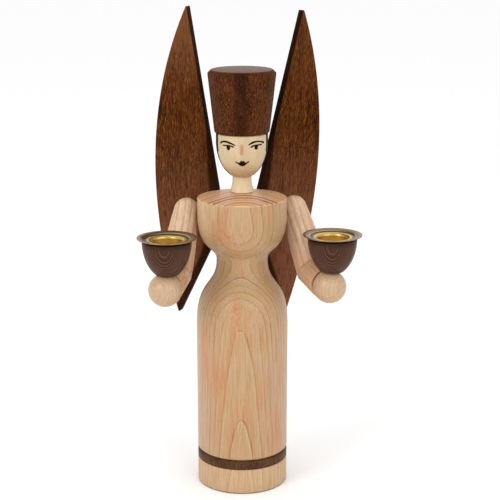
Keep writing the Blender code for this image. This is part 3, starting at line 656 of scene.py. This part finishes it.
def dark_wood(name, tones, origin=(0, 0, 0), turn=None, pith=120.0, lean=0.03, first_ring=10.0, spacing=3.2,
              flecks=0.8, fleck_size=(0.46, 2.8), shine=0.14, is_hat=False, wing=None):
    """Dark stained wood with light pore flecks along its grain. A wing is named by its side."""
    wood = Finish(name, shine=shine, ior=1.25)
    place = wood.place(origin, turn)
    count = wood.ring_count(place, pith, lean, first_ring, spacing, wobble=0.5)
    share = wood.math("FRACT", count)
    clouds = wood.noise(wood.stretched(place, 12.0, 26.0, (2.0, 5.0, 1.0)), detail=3.0)
    colour = wood.mix(wood.between(clouds, 0.36, 0.60), tones["deep"], tones["clear"])
    reddish = wood.noise(wood.stretched(place, 16.0, 22.0, (7.0, 3.0, 4.0)), detail=2.0)
    colour = wood.mix(wood.between(reddish, 0.5, 0.68, 0.0, 0.75), colour, tones["red"])
    late = wood.between(share, 0.66, 0.98)
    colour = wood.mix(wood.math("MULTIPLY", late, 0.5), colour, tones["deep"])

    streaks = wood.noise(wood.stretched(place, 0.75, 11.0), detail=4.0, roughness=0.65)
    colour = wood.mix(wood.between(streaks, 0.46, 0.64, 0.0, 0.8), colour, tones["streak"])
    colour = wood.mix(wood.between(streaks, 0.47, 0.34, 0.0, 0.75), colour, tones["deep"])
    fibres = wood.noise(wood.stretched(place, *fleck_size), detail=2.0, roughness=0.6)
    pores = wood.between(fibres, 0.53, 0.64)
    colour = wood.mix(wood.between(fibres, 0.47, 0.36, 0.0, 0.5), colour, tones["deep"])
    early = wood.between(share, 0.0, 0.6, 1.0, 0.45, smooth=False)
    light = wood.math("MULTIPLY", wood.math("MULTIPLY", pores, early), flecks)
    colour = wood.mix(light, colour, tones["pore"])
    gloss = wood.between(streaks, 0.3, 0.7, 0.36, 0.46, smooth=False)
    if is_hat:
        colour = hat_crown(wood, place, late, tones, colour)
    if wing:
        colour, gloss = wing_painted_light(wood, place, streaks, wing, colour, gloss)
    return wood.done(colour, gloss, wood.math("MULTIPLY", pores, -1.0), bump=0.25)


def cup_wood(name, origin):
    """Dark purple-brown cup wood whose pale ring lines circle the front, with a painted shadow under the
    flange.
    """
    wood = Finish(name, shine=0.2, ior=1.3)
    place = wood.place(origin, Matrix.Rotation(CUP_TURN, 3, "Z"))
    count = wood.ring_count(place, pith=160.0, lean=0.04, first_ring=16.15, spacing=0.78, wobble=0.22)
    rings = wood.ramp(wood.math("FRACT", count), [(share, shade(tone)) for share, tone in CUP_RINGS])
    strength = wood.between(wood.chance(count), 0.1, 0.9, 0.5, 1.0)
    colour = wood.mix(strength, CUP_WOOD["clear"], rings)
    clouds = wood.noise(wood.stretched(place, 7.0, 9.0), detail=3.0)
    colour = wood.mix(wood.between(clouds, 0.45, 0.62, 0.0, 0.6), colour, CUP_WOOD["purple"])
    fibres = wood.noise(wood.stretched(place, 0.4, 2.6), detail=3.0)
    pores = wood.between(fibres, 0.56, 0.68)
    colour = wood.mix(wood.math("MULTIPLY", pores, 0.5), colour, CUP_WOOD["pore"])
    up = wood.parts(place)[2]
    colour = wood.mix(wood.between(up, -6.0, 7.0, 0.0, 0.55), colour, CUP_WOOD["brown"])
    # Painted shadow just under the brass flange
    colour = wood.mix(wood.between(up, 3.5, 8.0, 0.0, 0.6), colour, CUP_WOOD["rim"])
    return wood.done(colour, 0.36, wood.math("MULTIPLY", pores, -1.0))


def brass(name, origin):
    """Spun brass: bright in the socket, duller with handling on the drip flange; painted shade and highlight
    rings.
    """
    metal = Finish(name, metallic=1.0)
    place = metal.place(origin)
    x, y, z = metal.parts(place)
    radius = metal.length(metal.level(x, y))
    handled = metal.between(radius, 14.6, 15.4)
    spots = metal.noise(metal.stretched(place, 3.0, 3.0), detail=4.0, roughness=0.7)
    colour = metal.mix(metal.between(radius, 11.0, 12.6), BRASS["socket"], BRASS["recess"])
    colour = metal.mix(handled, colour, BRASS["flange"])
    stained = metal.math("MULTIPLY", metal.between(spots, 0.45, 0.75, 0.0, 0.6), handled)
    colour = metal.mix(stained, colour, BRASS["spot"])
    # Painted shade in the crease, painted highlight on the ridge, and the darker lip
    for middle, full, faded, strength, tone in BRASS_RINGS:
        off = metal.math("ABSOLUTE", metal.math("SUBTRACT", radius, middle))
        colour = metal.mix(metal.between(off, full, faded, strength, 0.0), colour, tone)
    spun = metal.node("CombineXYZ", {"X": metal.math("MULTIPLY", radius, 5.0), "Z": z}).outputs[0]
    gloss = metal.between(spots, 0.4, 0.8, 0.30, 0.42, smooth=False)
    return metal.done(colour, gloss, metal.noise(spun, detail=2.0), bump=0.10, bump_depth=0.03 * MM)


def head_lacquer(name):
    """Cream lacquer with hair painted on the back half, a soft red nose stroke, a chin partly in painted shade.
    """
    paint = Finish(name, coat=0.1, coat_roughness=0.25, shine=0.35)
    place = paint.place((0, 0, HEAD_BOTTOM), Matrix.Rotation(FACE_TURN, 3, "Z"))
    x, y, z = paint.parts(place)
    turn = paint.math("ARCTAN2", x, paint.math("MULTIPLY", y, -1.0))
    across = paint.math("MULTIPLY", turn, HEAD_RADIUS * MM_PER_METRE)

    veil = paint.noise(paint.stretched(place, 5.0, 30.0), detail=3.0)
    colour = paint.mix(paint.between(veil, 0.35, 0.65), LACQUER["cream"], LACQUER["veil"])
    colour = paint.mix(paint.between(z, 7.0, 11.0, 0.8, 0.0), colour, LACQUER["neck"])
    # Tan under the chin, partly painted shade where the chin faces down
    chin = paint.math("MULTIPLY", paint.between(z, 12.0, 21.0, 0.6, 0.0), paint.between(z, 9.5, 12.0))
    colour = paint.mix(chin, colour, LACQUER["chin"])

    nose_width = paint.between(paint.math("ABSOLUTE", paint.math("ADD", across, 0.3)), 0.4, 2.0, 1.0, 0.0)
    nose_length = paint.math("MULTIPLY", paint.between(z, 34.0, 36.6, 1.0, 0.0), paint.between(z, 27.2, 29.0))
    nose = paint.math("MULTIPLY", nose_width, nose_length)
    brush = paint.noise(paint.stretched(place, 1.2, 5.0), detail=2.0)
    nose = paint.math("MULTIPLY", nose, paint.between(brush, 0.2, 0.8, 0.55, 0.9, smooth=False))
    red = paint.mix(paint.between(z, 34.5, 29.5), LACQUER["nose_top"], LACQUER["nose_foot"])
    colour = paint.mix(nose, colour, red)

    ragged = paint.math("MULTIPLY", paint.math("SUBTRACT", brush, 0.5), 0.5)
    hairline = paint.math("ADD", paint.between(z, 12.5, 20.0, HAIR_EDGE_CHIN, HAIR_EDGE_CHEEK, smooth=False),
                          paint.between(z, 27.6, 30.0, 0.0, HAIR_EDGE - HAIR_EDGE_CHEEK))
    behind = paint.math("SUBTRACT", paint.math("ADD", paint.math("ABSOLUTE", across), ragged), hairline)
    hair = paint.math("MULTIPLY", paint.between(behind, -0.1, 0.15), paint.between(z, 11.0, 12.2))
    strands = paint.noise(paint.stretched(place, 0.5, 9.0), detail=3.0)
    dark = paint.mix(paint.between(strands, 0.35, 0.65), LACQUER["hair"], LACQUER["strand"])
    colour = paint.mix(hair, colour, dark)
    height = paint.math("MULTIPLY_ADD", strands, paint.math("MULTIPLY", hair, 0.4), hair)
    gloss = paint.math("MAXIMUM", paint.between(brush, 0.2, 0.8, 0.30, 0.38, smooth=False),
                       paint.math("MULTIPLY", hair, 0.9))
    return paint.done(colour, gloss, height, bump=0.3)


def brush_paint(name):
    """Thin dark brush paint, a little streaky."""
    paint = Finish(name, shine=0.02)
    streak = paint.noise(paint.stretched(paint.place(), 0.5, 0.5), detail=3.0)
    tone = paint.mix(paint.between(streak, 0.3, 0.7), BRUSH_DARK, BRUSH_THIN)
    return paint.done(tone, 0.5, streak, bump=0.1)


# Turned stack

foot_profile = [(0.0, FOOT_HEIGHT), (BASE_RADIUS, FOOT_HEIGHT), (BASE_RADIUS, EDGE_CHAMFER),
                (BASE_RADIUS - EDGE_CHAMFER, 0.0), (0.0, 0.0)]
FOOT_WOOD = light_wood("foot_ash", FOOT_ASH, turn=BODY_TURN, first_ring=30.3, spacing=3.3, warmth=0.35,
                       ring_strength=0.6, mark=foot_contact_shadow)
place_piece("turned_foot", turned(foot_profile), FOOT_WOOD, "light_wood", "foot_disc")

band_profile = [(BAND_BORE_RADIUS, BAND_HEIGHT), (BASE_RADIUS - GROOVE_DEPTH, BAND_HEIGHT),
                (BASE_RADIUS, BAND_HEIGHT - GROOVE_DEPTH), (BASE_RADIUS, 0.0), (BAND_BORE_RADIUS, 0.0)]
BAND_WOOD = dark_wood("band_walnut", BAND_WALNUT, turn=BODY_TURN, flecks=0.5, shine=0.3)
place_piece("turned_band", raised(turned(band_profile, closed=True), BAND_BOTTOM), BAND_WOOD, "dark_wood",
            "dark_band")

shoulder_centre = (CHEST_RADIUS - SHOULDER_ROUND, SHOULDER_HEIGHT - SHOULDER_ROUND)
waist = (WAIST_RADIUS, WAIST_HEIGHT)
body_profile = [(0.0, SHOULDER_HEIGHT + SHOULDER_RISE), (NECK_FOOT_RADIUS, SHOULDER_HEIGHT + SHOULDER_RISE)]
body_profile += arc(shoulder_centre, (SHOULDER_ROUND, SHOULDER_ROUND), math.pi / 2, 0.0, 8)
body_profile += flow((CHEST_RADIUS, CHEST_HEIGHT), waist, CHEST_FULLNESS, WAIST_FLOW_UP)
body_profile += flow(waist, (HIP_RADIUS, HIP_HEIGHT), WAIST_FLOW_DOWN, HIP_FULLNESS)[1:]
body_profile += [(BASE_RADIUS, GROOVE_DEPTH), (BASE_RADIUS - GROOVE_DEPTH, 0.0), (0.0, 0.0)]
BODY_WOOD = light_wood("body_ash", turn=BODY_TURN, warmth=0.65, is_body=True, mark=shoulder_end_grain)
place_piece("turned_body", raised(turned(body_profile), BODY_BOTTOM), BODY_WOOD, "light_wood", "body")

chin_angle = -math.acos(NECK_RADIUS / HEAD_RADIUS)
head_profile = [(0.0, HEAD_HEIGHT), (HEAD_RADIUS - EDGE_CHAMFER, HEAD_HEIGHT),
                (HEAD_RADIUS, HEAD_HEIGHT - EDGE_CHAMFER)]
head_profile += arc((0.0, HEAD_MIDDLE), (HEAD_RADIUS, CHIN_DEPTH), 0.0, chin_angle, 32)
head_profile += flow((NECK_RADIUS, NECK_HEIGHT), (NECK_FOOT_RADIUS, 0.0), NECK_HEIGHT / 2, 0.0, 10)
head_profile += [(0.0, 0.0)]
place_piece("turned_head", raised(turned(head_profile), HEAD_BOTTOM), head_lacquer("cream_lacquer"),
            "head_lacquer", "head")

hat_profile = [(0.0, HAT_HEIGHT), (HAT_TOP_RADIUS - HAT_TOP_CHAMFER, HAT_HEIGHT),
               (HAT_TOP_RADIUS, HAT_HEIGHT - HAT_TOP_CHAMFER), (HAT_BOTTOM_RADIUS, EDGE_CHAMFER),
               (HAT_BOTTOM_RADIUS - EDGE_CHAMFER, 0.0), (0.0, 0.0)]
HAT_WOOD = dark_wood("hat_walnut", HAT_WALNUT, (0, 0, HAT_BOTTOM), BODY_TURN, pith=200.0, lean=-0.10,
                     first_ring=24.0, spacing=1.9, flecks=0.75, fleck_size=(0.36, 1.6), shine=0.1,
                     is_hat=True)
place_piece("turned_hat", raised(turned(hat_profile, corner=HAT_CORNER_ROUND), HAT_BOTTOM), HAT_WOOD,
            "dark_wood", "hat")


# Painted face


def head_point(across, height, lift):
    """Point on the head's front, by its way round from the face's middle and its height."""
    below = max(0.0, HEAD_MIDDLE - height) / CHIN_DEPTH
    radius = HEAD_RADIUS * math.sqrt(1.0 - below ** 2) + lift
    turn = across / HEAD_RADIUS + FACE_TURN
    return Vector((radius * math.sin(turn), -radius * math.cos(turn), HEAD_BOTTOM + height))


def painted_shape(name, outline, material, tips=()):
    """Lay a shape, drawn in millimetres round and up the head, on the lacquer as a film of paint."""
    curve = bpy.data.curves.new(name, "CURVE")
    curve.dimensions = "2D"
    curve.fill_mode = "BOTH"
    curve.resolution_u = 6
    spline = curve.splines.new("BEZIER")
    spline.bezier_points.add(len(outline) - 1)
    for point, (across, height) in zip(spline.bezier_points, outline):
        point.co = (across * MM, height * MM, 0.0)
        point.handle_left_type = point.handle_right_type = "AUTO"
    for tip in tips:
        spline.bezier_points[tip].handle_left_type = spline.bezier_points[tip].handle_right_type = "VECTOR"
    spline.use_cyclic_u = True
    drawn = bpy.data.objects.new(name + "_drawn", curve)
    bpy.context.scene.collection.objects.link(drawn)
    bpy.context.view_layer.update()
    flat = bpy.data.meshes.new_from_object(drawn.evaluated_get(bpy.context.evaluated_depsgraph_get()))
    bpy.data.objects.remove(drawn, do_unlink=True)
    form = bmesh.new()
    form.from_mesh(flat)
    bmesh.ops.remove_doubles(form, verts=form.verts, dist=WELD)
    long_edges = [edge for edge in form.edges if edge.calc_length() > PAINT_EDGE]
    bmesh.ops.subdivide_edges(form, edges=long_edges, cuts=3, use_grid_fill=True)
    bmesh.ops.triangulate(form, faces=form.faces)
    film = bmesh.ops.extrude_face_region(form, geom=list(form.faces))["geom"]
    outside = [part for part in film if isinstance(part, bmesh.types.BMVert)]
    bmesh.ops.translate(form, vec=(0, 0, PAINT_THICKNESS), verts=outside)
    bmesh.ops.recalc_face_normals(form, faces=form.faces)
    for vertex in form.verts:
        vertex.co = head_point(*vertex.co)
    return place_piece(name, form, material, "head_lacquer")


BROW_PAINT = brush_paint("brow_paint")
# Outlines in millimetres: round the head from the face's middle, and up
FACE = {
    "left_brow": [(-17.6, 35.2), (-15.2, 36.95), (-12.0, 37.4), (-8.2, 36.6), (-4.6, 34.85), (-4.7, 34.2),
        (-8.4, 35.35), (-12.1, 36.1), (-14.9, 35.85), (-16.9, 34.9)],
    "right_brow": [(4.2, 34.55), (4.1, 35.2), (6.6, 36.95), (10.2, 37.5), (13.6, 37.1), (17.4, 35.4),
        (13.5, 36.2), (10.0, 36.35), (6.9, 35.55)],
    "left_lid": [(-14.7, 34.2), (-12.2, 34.6), (-10.0, 34.8), (-8.0, 34.5), (-5.7, 33.6), (-5.8, 33.2),
        (-8.1, 33.6), (-10.0, 33.8), (-12.1, 33.75), (-14.6, 33.8)],
    "right_lid": [(5.6, 33.2), (5.8, 33.75), (8.0, 34.75), (10.0, 35.0), (12.4, 34.9), (15.0, 34.75),
        (15.0, 34.3), (12.4, 34.0), (10.0, 33.95), (8.1, 33.65)],
    "left_eye": [(-11.45, 32.9), (-10.9, 34.1), (-9.0, 34.1), (-8.4, 32.9), (-9.0, 31.5), (-9.95, 31.0),
        (-10.9, 31.5)],
    "right_eye": [(8.55, 33.05), (9.1, 34.3), (10.9, 34.3), (11.4, 33.05), (10.9, 31.85), (10.0, 31.4),
        (9.1, 31.85)],
    "mouth": [(-5.2, 23.0), (-4.9, 23.5), (-3.4, 22.75), (-2.1, 22.7), (-0.9, 23.95), (0.1, 23.65),
        (1.1, 23.95), (2.3, 22.7), (3.4, 22.85), (4.8, 23.65), (5.2, 23.2), (3.5, 21.7), (2.0, 20.45),
        (0.1, 19.95), (-1.8, 20.45), (-3.5, 21.7)],
}
SHARP_TIPS = {"left_brow": (4, 5), "right_brow": (0, 1)}
for name, outline in FACE.items():
    painted_shape(name, outline, BROW_PAINT, SHARP_TIPS.get(name, ()))


# Arms, hands and cups


def mitre(side):
    """Direction square to the elbow's mitre, towards the wrist."""
    upper = (ELBOWS[side] - SHOULDERS[side]).normalized()
    return (upper + (WRISTS[side] - ELBOWS[side]).normalized()).normalized()


def sawn_off(form, point, normal):
    """Saw a form through a point and drop the side that the normal shows."""
    parts = list(form.verts) + list(form.edges) + list(form.faces)
    cut = bmesh.ops.bisect_plane(form, geom=parts, plane_co=point, plane_no=normal, clear_outer=True)
    rim = [part for part in cut["geom_cut"] if isinstance(part, bmesh.types.BMEdge)]
    bmesh.ops.edgeloop_fill(form, edges=rim)
    return form


def chest_form():
    """The round of the chest, a gap larger, for cutting coves."""
    radius = CHEST_RADIUS + GAP
    profile = [(0.0, SHOULDER_EDGE), (radius, SHOULDER_EDGE), (radius, 0.0), (0.0, 0.0)]
    return turned(profile, 2 * TURN_STEPS, corner=0.0)


def upper_sleeve(side):
    """Domed sleeve from the shoulder to the mitre, coved to the chest."""
    rise = SHOULDERS[side] - ELBOWS[side]
    profile = arc((0.0, rise.length), (ARM_TOP_RADIUS, ARM_TOP_RADIUS), math.pi / 2, 0.0, 16)
    profile += flow(profile[-1], (ELBOW_RADIUS, 0.0), 0.0, ARM_FULLNESS, 12)[1:]
    profile += [(ELBOW_RADIUS, -CUT_PAST), (0.0, -CUT_PAST)]
    form = moved(turned(profile, SMALL_TURN_STEPS, corner=0.0), along(ELBOWS[side], rise))
    form = sawn_off(form, ELBOWS[side] - mitre(side) * GLUE_LINE / 2, mitre(side))
    form = cut_away(form, chest_form())
    round_corners(form, CORNER_ROUND)
    return form


def lower_sleeve(side, hand):
    """Sleeve from the mitre to the cuff, hollowed to seat the hand."""
    run = WRISTS[side] - ELBOWS[side]
    cuff = run.length - CUFF_SETBACK
    profile = [(0.0, cuff), (CUFF_RADIUS - FINE_CHAMFER, cuff), (CUFF_RADIUS, cuff - FINE_CHAMFER),
               (ELBOW_RADIUS, -CUT_PAST), (0.0, -CUT_PAST)]
    form = moved(turned(profile, SMALL_TURN_STEPS, corner=0.0), along(ELBOWS[side], run))
    form = sawn_off(form, ELBOWS[side] + mitre(side) * GLUE_LINE / 2, -mitre(side))
    seat = bmesh.new()
    bmesh.ops.create_uvsphere(seat, u_segments=SMALL_TURN_STEPS, v_segments=SMALL_TURN_STEPS // 2,
                              radius=HAND_RADIUS + GAP)
    form = cut_away(form, moved(seat, Matrix.Translation(hand)))
    round_corners(form, CORNER_ROUND)
    return form


def hand_form(hand):
    """Ball with a flat on top, on which the cup stands."""
    flat_angle = math.asin(HAND_FLAT / HAND_RADIUS)
    profile = [(0.0, HAND_FLAT)]
    profile += arc((0.0, 0.0), (HAND_RADIUS, HAND_RADIUS), flat_angle, -math.pi / 2, 40)
    return moved(turned(profile, SMALL_TURN_STEPS), Matrix.Translation(hand))


def cup_form(foot):
    """Egg-shaped cup, bored for its brass insert."""
    foot_angle = -math.asin(CUP_HEIGHT / CUP_CURVE_HEIGHT)
    bore = SOCKET_RADIUS + BRASS_SHEET + GAP
    floor = CUP_HEIGHT - SOCKET_DEPTH - BRASS_SHEET
    lip = LIP_ROUND + GAP
    profile = [(0.0, floor), (bore, floor), (bore, CUP_HEIGHT - lip), (bore + lip, CUP_HEIGHT),
               (CUP_RADIUS - FINE_CHAMFER, CUP_HEIGHT), (CUP_RADIUS, CUP_HEIGHT - FINE_CHAMFER)]
    profile += arc((0.0, CUP_HEIGHT), (CUP_RADIUS, CUP_CURVE_HEIGHT), 0.0, foot_angle, 28)[1:]
    profile += [(0.0, 0.0)]
    return moved(turned(profile), Matrix.Translation(foot))


def insert_form(cup_top):
    """Sheet brass socket, rolled lip, recess and drip flange."""
    top = GAP + BRASS_SHEET
    floor = top - SOCKET_DEPTH
    wall = SOCKET_RADIUS + BRASS_SHEET
    under = LIP_ROUND - BRASS_SHEET
    mouth = (SOCKET_RADIUS + LIP_ROUND, top - LIP_ROUND)
    flange_top = top + RECESS_STEP + FLANGE_RISE
    profile = [(0.0, floor), (SOCKET_RADIUS - SOCKET_CORNER, floor), (SOCKET_RADIUS, floor + SOCKET_CORNER)]
    profile += arc(mouth, (LIP_ROUND, LIP_ROUND), math.pi, math.pi / 2, 10)
    profile += [(RECESS_RADIUS, top), (RECESS_RADIUS + RECESS_STEP, top + RECESS_STEP),
                (FLANGE_RADIUS, flange_top), (FLANGE_RADIUS, flange_top - BRASS_SHEET),
                (RECESS_RADIUS + RECESS_STEP, top + RECESS_STEP - BRASS_SHEET),
                (RECESS_RADIUS, top - BRASS_SHEET)]
    profile += arc(mouth, (under, under), math.pi / 2, math.pi, 8)
    profile += [(wall, floor - BRASS_SHEET + SOCKET_CORNER), (wall - SOCKET_CORNER, floor - BRASS_SHEET),
                (0.0, floor - BRASS_SHEET)]
    return moved(turned(profile, corner=BRASS_CORNER_ROUND), Matrix.Translation(cup_top))


def grain_turn(direction, roll):
    """Turn of a piece whose grain runs along a direction."""
    return direction.to_track_quat("Z", "Y").to_matrix() @ Matrix.Rotation(roll, 3, "Z")


for side, sign in SIDES.items():
    low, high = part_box(side + "_hand")
    hand = Vector(((low.x + high.x) / 2, (low.y + high.y) / 2, low.z + HAND_RADIUS))
    low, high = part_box(side + "_cup")
    foot = Vector(((low.x + high.x) / 2, (low.y + high.y) / 2, low.z))

    upper_turn = grain_turn(SHOULDERS[side] - ELBOWS[side], SLEEVE_ROLL * sign)
    upper_ash = light_wood(side + "_upper_ash", SLEEVE_ASH, ELBOWS[side], upper_turn, pith=90.0, lean=0.01,
                           first_ring=2.0, spacing=4.4, ring_strength=0.95, side_lines=0.8, line_width=1.7,
                           mark=warm_elbow)
    place_piece(side + "_upper_sleeve", upper_sleeve(side), upper_ash, "light_wood", side + "_upper_arm")

    lower_turn = grain_turn(ELBOWS[side] - WRISTS[side], SLEEVE_ROLL * sign)
    lower_ash = light_wood(side + "_lower_ash", LOWER_SLEEVE_ASH, ELBOWS[side], lower_turn, pith=90.0,
                           lean=0.01, first_ring=1.4, spacing=2.6, warmth=0.7, ring_strength=0.5,
                           side_lines=0.35, mark=cuff_of(hand))
    place_piece(side + "_lower_sleeve", lower_sleeve(side, hand), lower_ash, "light_wood", side + "_forearm")

    hand_turn = Matrix.Rotation(HAND_ROLL * sign, 3, "Z")
    hand_ash = light_wood(side + "_hand_ash", HAND_ASH, hand, hand_turn, pith=80.0, lean=0.02,
                          first_ring=10.5, spacing=2.6, warmth=0.4, ring_strength=0.7, shine=0.5, coat=0.25)
    place_piece(side + "_turned_hand", hand_form(hand), hand_ash, "light_wood", side + "_hand")

    egg_wood = cup_wood(side + "_cup_wood", foot + Vector((0, 0, CUP_GRAIN_HEIGHT)))
    place_piece(side + "_turned_cup", cup_form(foot), egg_wood, "cup_wood", side + "_cup")
    cup_top = foot + Vector((0, 0, CUP_HEIGHT))
    spun_brass = brass(side + "_brass", cup_top - Vector((0, 0, BRASS_DEPTH)))
    place_piece(side + "_brass_insert", insert_form(cup_top), spun_brass, "brass", side + "_candle_insert")


# Wings


def wing_outline(sign):
    """Wing seen square on, from its inner corner: two straight inner edges and one long bow."""
    top = Vector((WING_TOP[0] + WING_TOP_TIP, WING_TOP[1]))
    bottom = Vector((WING_BOTTOM[0] + WING_BOTTOM_TIP, WING_BOTTOM[1]))
    down = (bottom - top).normalized()
    outwards = Vector((-down.y, down.x))
    top_handle = top + down * WING_BOW_REACH + outwards * WING_BOW_TOP_PULL
    bottom_handle = bottom - down * WING_BOW_REACH + outwards * WING_BOW_BOTTOM_PULL
    points = [(0.0, 0.0), WING_TOP] + drawn_curve(top, top_handle, bottom_handle, bottom, 60) + [WING_BOTTOM]
    return [(sign * across, up) for across, up in points]


def wing_place(side, sign):
    """Where the wing's inner corner lies and how the board is turned."""
    seat_radius = CHEST_RADIUS + GAP
    spread = Vector((sign * math.cos(WING_SWEEP), math.sin(WING_SWEEP), 0.0))
    front = Vector((sign * math.sin(WING_SWEEP), -math.cos(WING_SWEEP), 0.0))
    angle = WING_SEAT_ANGLE[side]
    seat = seat_radius * Vector((sign * math.cos(angle), math.sin(angle), 0.0))
    middle = seat - front * WING_THICKNESS / 2
    corner = middle - spread * WING_CORNER_INSET[side]
    corner.z = SHOULDER_EDGE - WING_CORNER_DROP
    turn = Euler((math.pi / 2, WING_LEAN, sign * WING_SWEEP)).to_matrix().to_4x4()
    return Matrix.Translation(corner) @ turn


def wing_form(side, sign):
    """Board sawn to the wing's outline, with eased edges and a cove for the chest."""
    form = bmesh.new()
    rim = [form.verts.new((across, up, -WING_THICKNESS / 2)) for across, up in wing_outline(sign)]
    face = form.faces.new(rim)
    top = bmesh.ops.extrude_face_region(form, geom=[face])["geom"]
    lifted = [part for part in top if isinstance(part, bmesh.types.BMVert)]
    bmesh.ops.translate(form, vec=(0, 0, WING_THICKNESS), verts=lifted)
    bmesh.ops.recalc_face_normals(form, faces=form.faces)
    corners = [e for e in form.edges if e.calc_face_angle() > SMOOTH_ANGLE]
    bmesh.ops.bevel(form, geom=corners, offset=WING_ARRIS, offset_type="OFFSET",
                    segments=WING_ARRIS_SEGMENTS, profile=0.5, affect="EDGES", material=-1, clamp_overlap=True)
    return cut_away(moved(form, wing_place(side, sign)), chest_form())


for side, sign in SIDES.items():
    place = wing_place(side, sign)
    tilt = Matrix.Rotation(WING_GRAIN_TILT * sign, 3, "Y")
    grain = place.to_3x3() @ Matrix.Rotation(-math.pi / 2, 3, "X") @ tilt
    walnut = dark_wood(side + "_wing_walnut", WING_WALNUT, place.translation, grain, pith=60.0, lean=0.06,
                       spacing=3.6, flecks=0.7, shine=0.02, wing=side)
    place_piece(side + "_sawn_wing", wing_form(side, sign), walnut, "dark_wood", side + "_wing")


# Hidden dowels

for name, node in frame["nodes"].items():
    if name.endswith("dowel"):
        bare = light_wood(name + "_beech", HAND_ASH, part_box(name)[0], spacing=1.2, first_ring=0.5, warmth=0.2)
        node.data.materials.clear()
        node.data.materials.append(bare)


# Floor, light and camera

floor_form = bmesh.new()
bmesh.ops.create_circle(floor_form, cap_ends=True, radius=FLOOR_RADIUS, segments=SMALL_TURN_STEPS)
floor_mesh = mesh_of(floor_form, "studio_floor")
floor_paint = Finish("studio_floor", shine=0.0)
clouds = floor_paint.noise(floor_paint.place(), detail=2.0)
whites = floor_paint.mix(clouds, *[(white, white, white, 1.0) for white in FLOOR_WHITES])
floor_mesh.materials.append(floor_paint.done(whites, FLOOR_ROUGHNESS))
floor = bpy.data.objects.new("studio_floor", floor_mesh)
bpy.context.scene.collection.objects.link(floor)

world = bpy.data.worlds.new("studio")
world.use_nodes = True
world.node_tree.nodes["Background"].inputs["Color"].default_value = (1.0, 1.0, 1.0, 1.0)
world.node_tree.nodes["Background"].inputs["Strength"].default_value = 1.0
bpy.context.scene.world = world


def softbox(name, location, width, watts):
    """A square soft light that looks at the figure."""
    lamp = bpy.data.lights.new(name, "AREA")
    lamp.shape = "SQUARE"
    lamp.size = width
    lamp.energy = watts
    light = bpy.data.objects.new(name, lamp)
    light.location = location
    light.rotation_euler = (LIT_POINT - Vector(location)).to_track_quat("-Z", "Y").to_euler()
    bpy.context.scene.collection.objects.link(light)


softbox("left_softbox", location=(-1.1, -0.9, 0.9), width=0.6, watts=6.8)
softbox("right_softbox", location=(1.0, -1.1, 0.8), width=0.6, watts=2.9)
softbox("front_softbox", location=(0.42, -1.3, 0.75), width=0.2, watts=2.0)

camera = bpy.data.objects.new("camera", bpy.data.cameras.new("camera"))
camera.data.sensor_width = CAMERA_SENSOR
camera.data.lens = CAMERA_LENS
camera.location = CAMERA_PLACE
camera.rotation_euler = CAMERA_TURN
bpy.context.scene.collection.objects.link(camera)
bpy.context.scene.camera = camera
bpy.context.scene.view_settings.view_transform = "Standard"
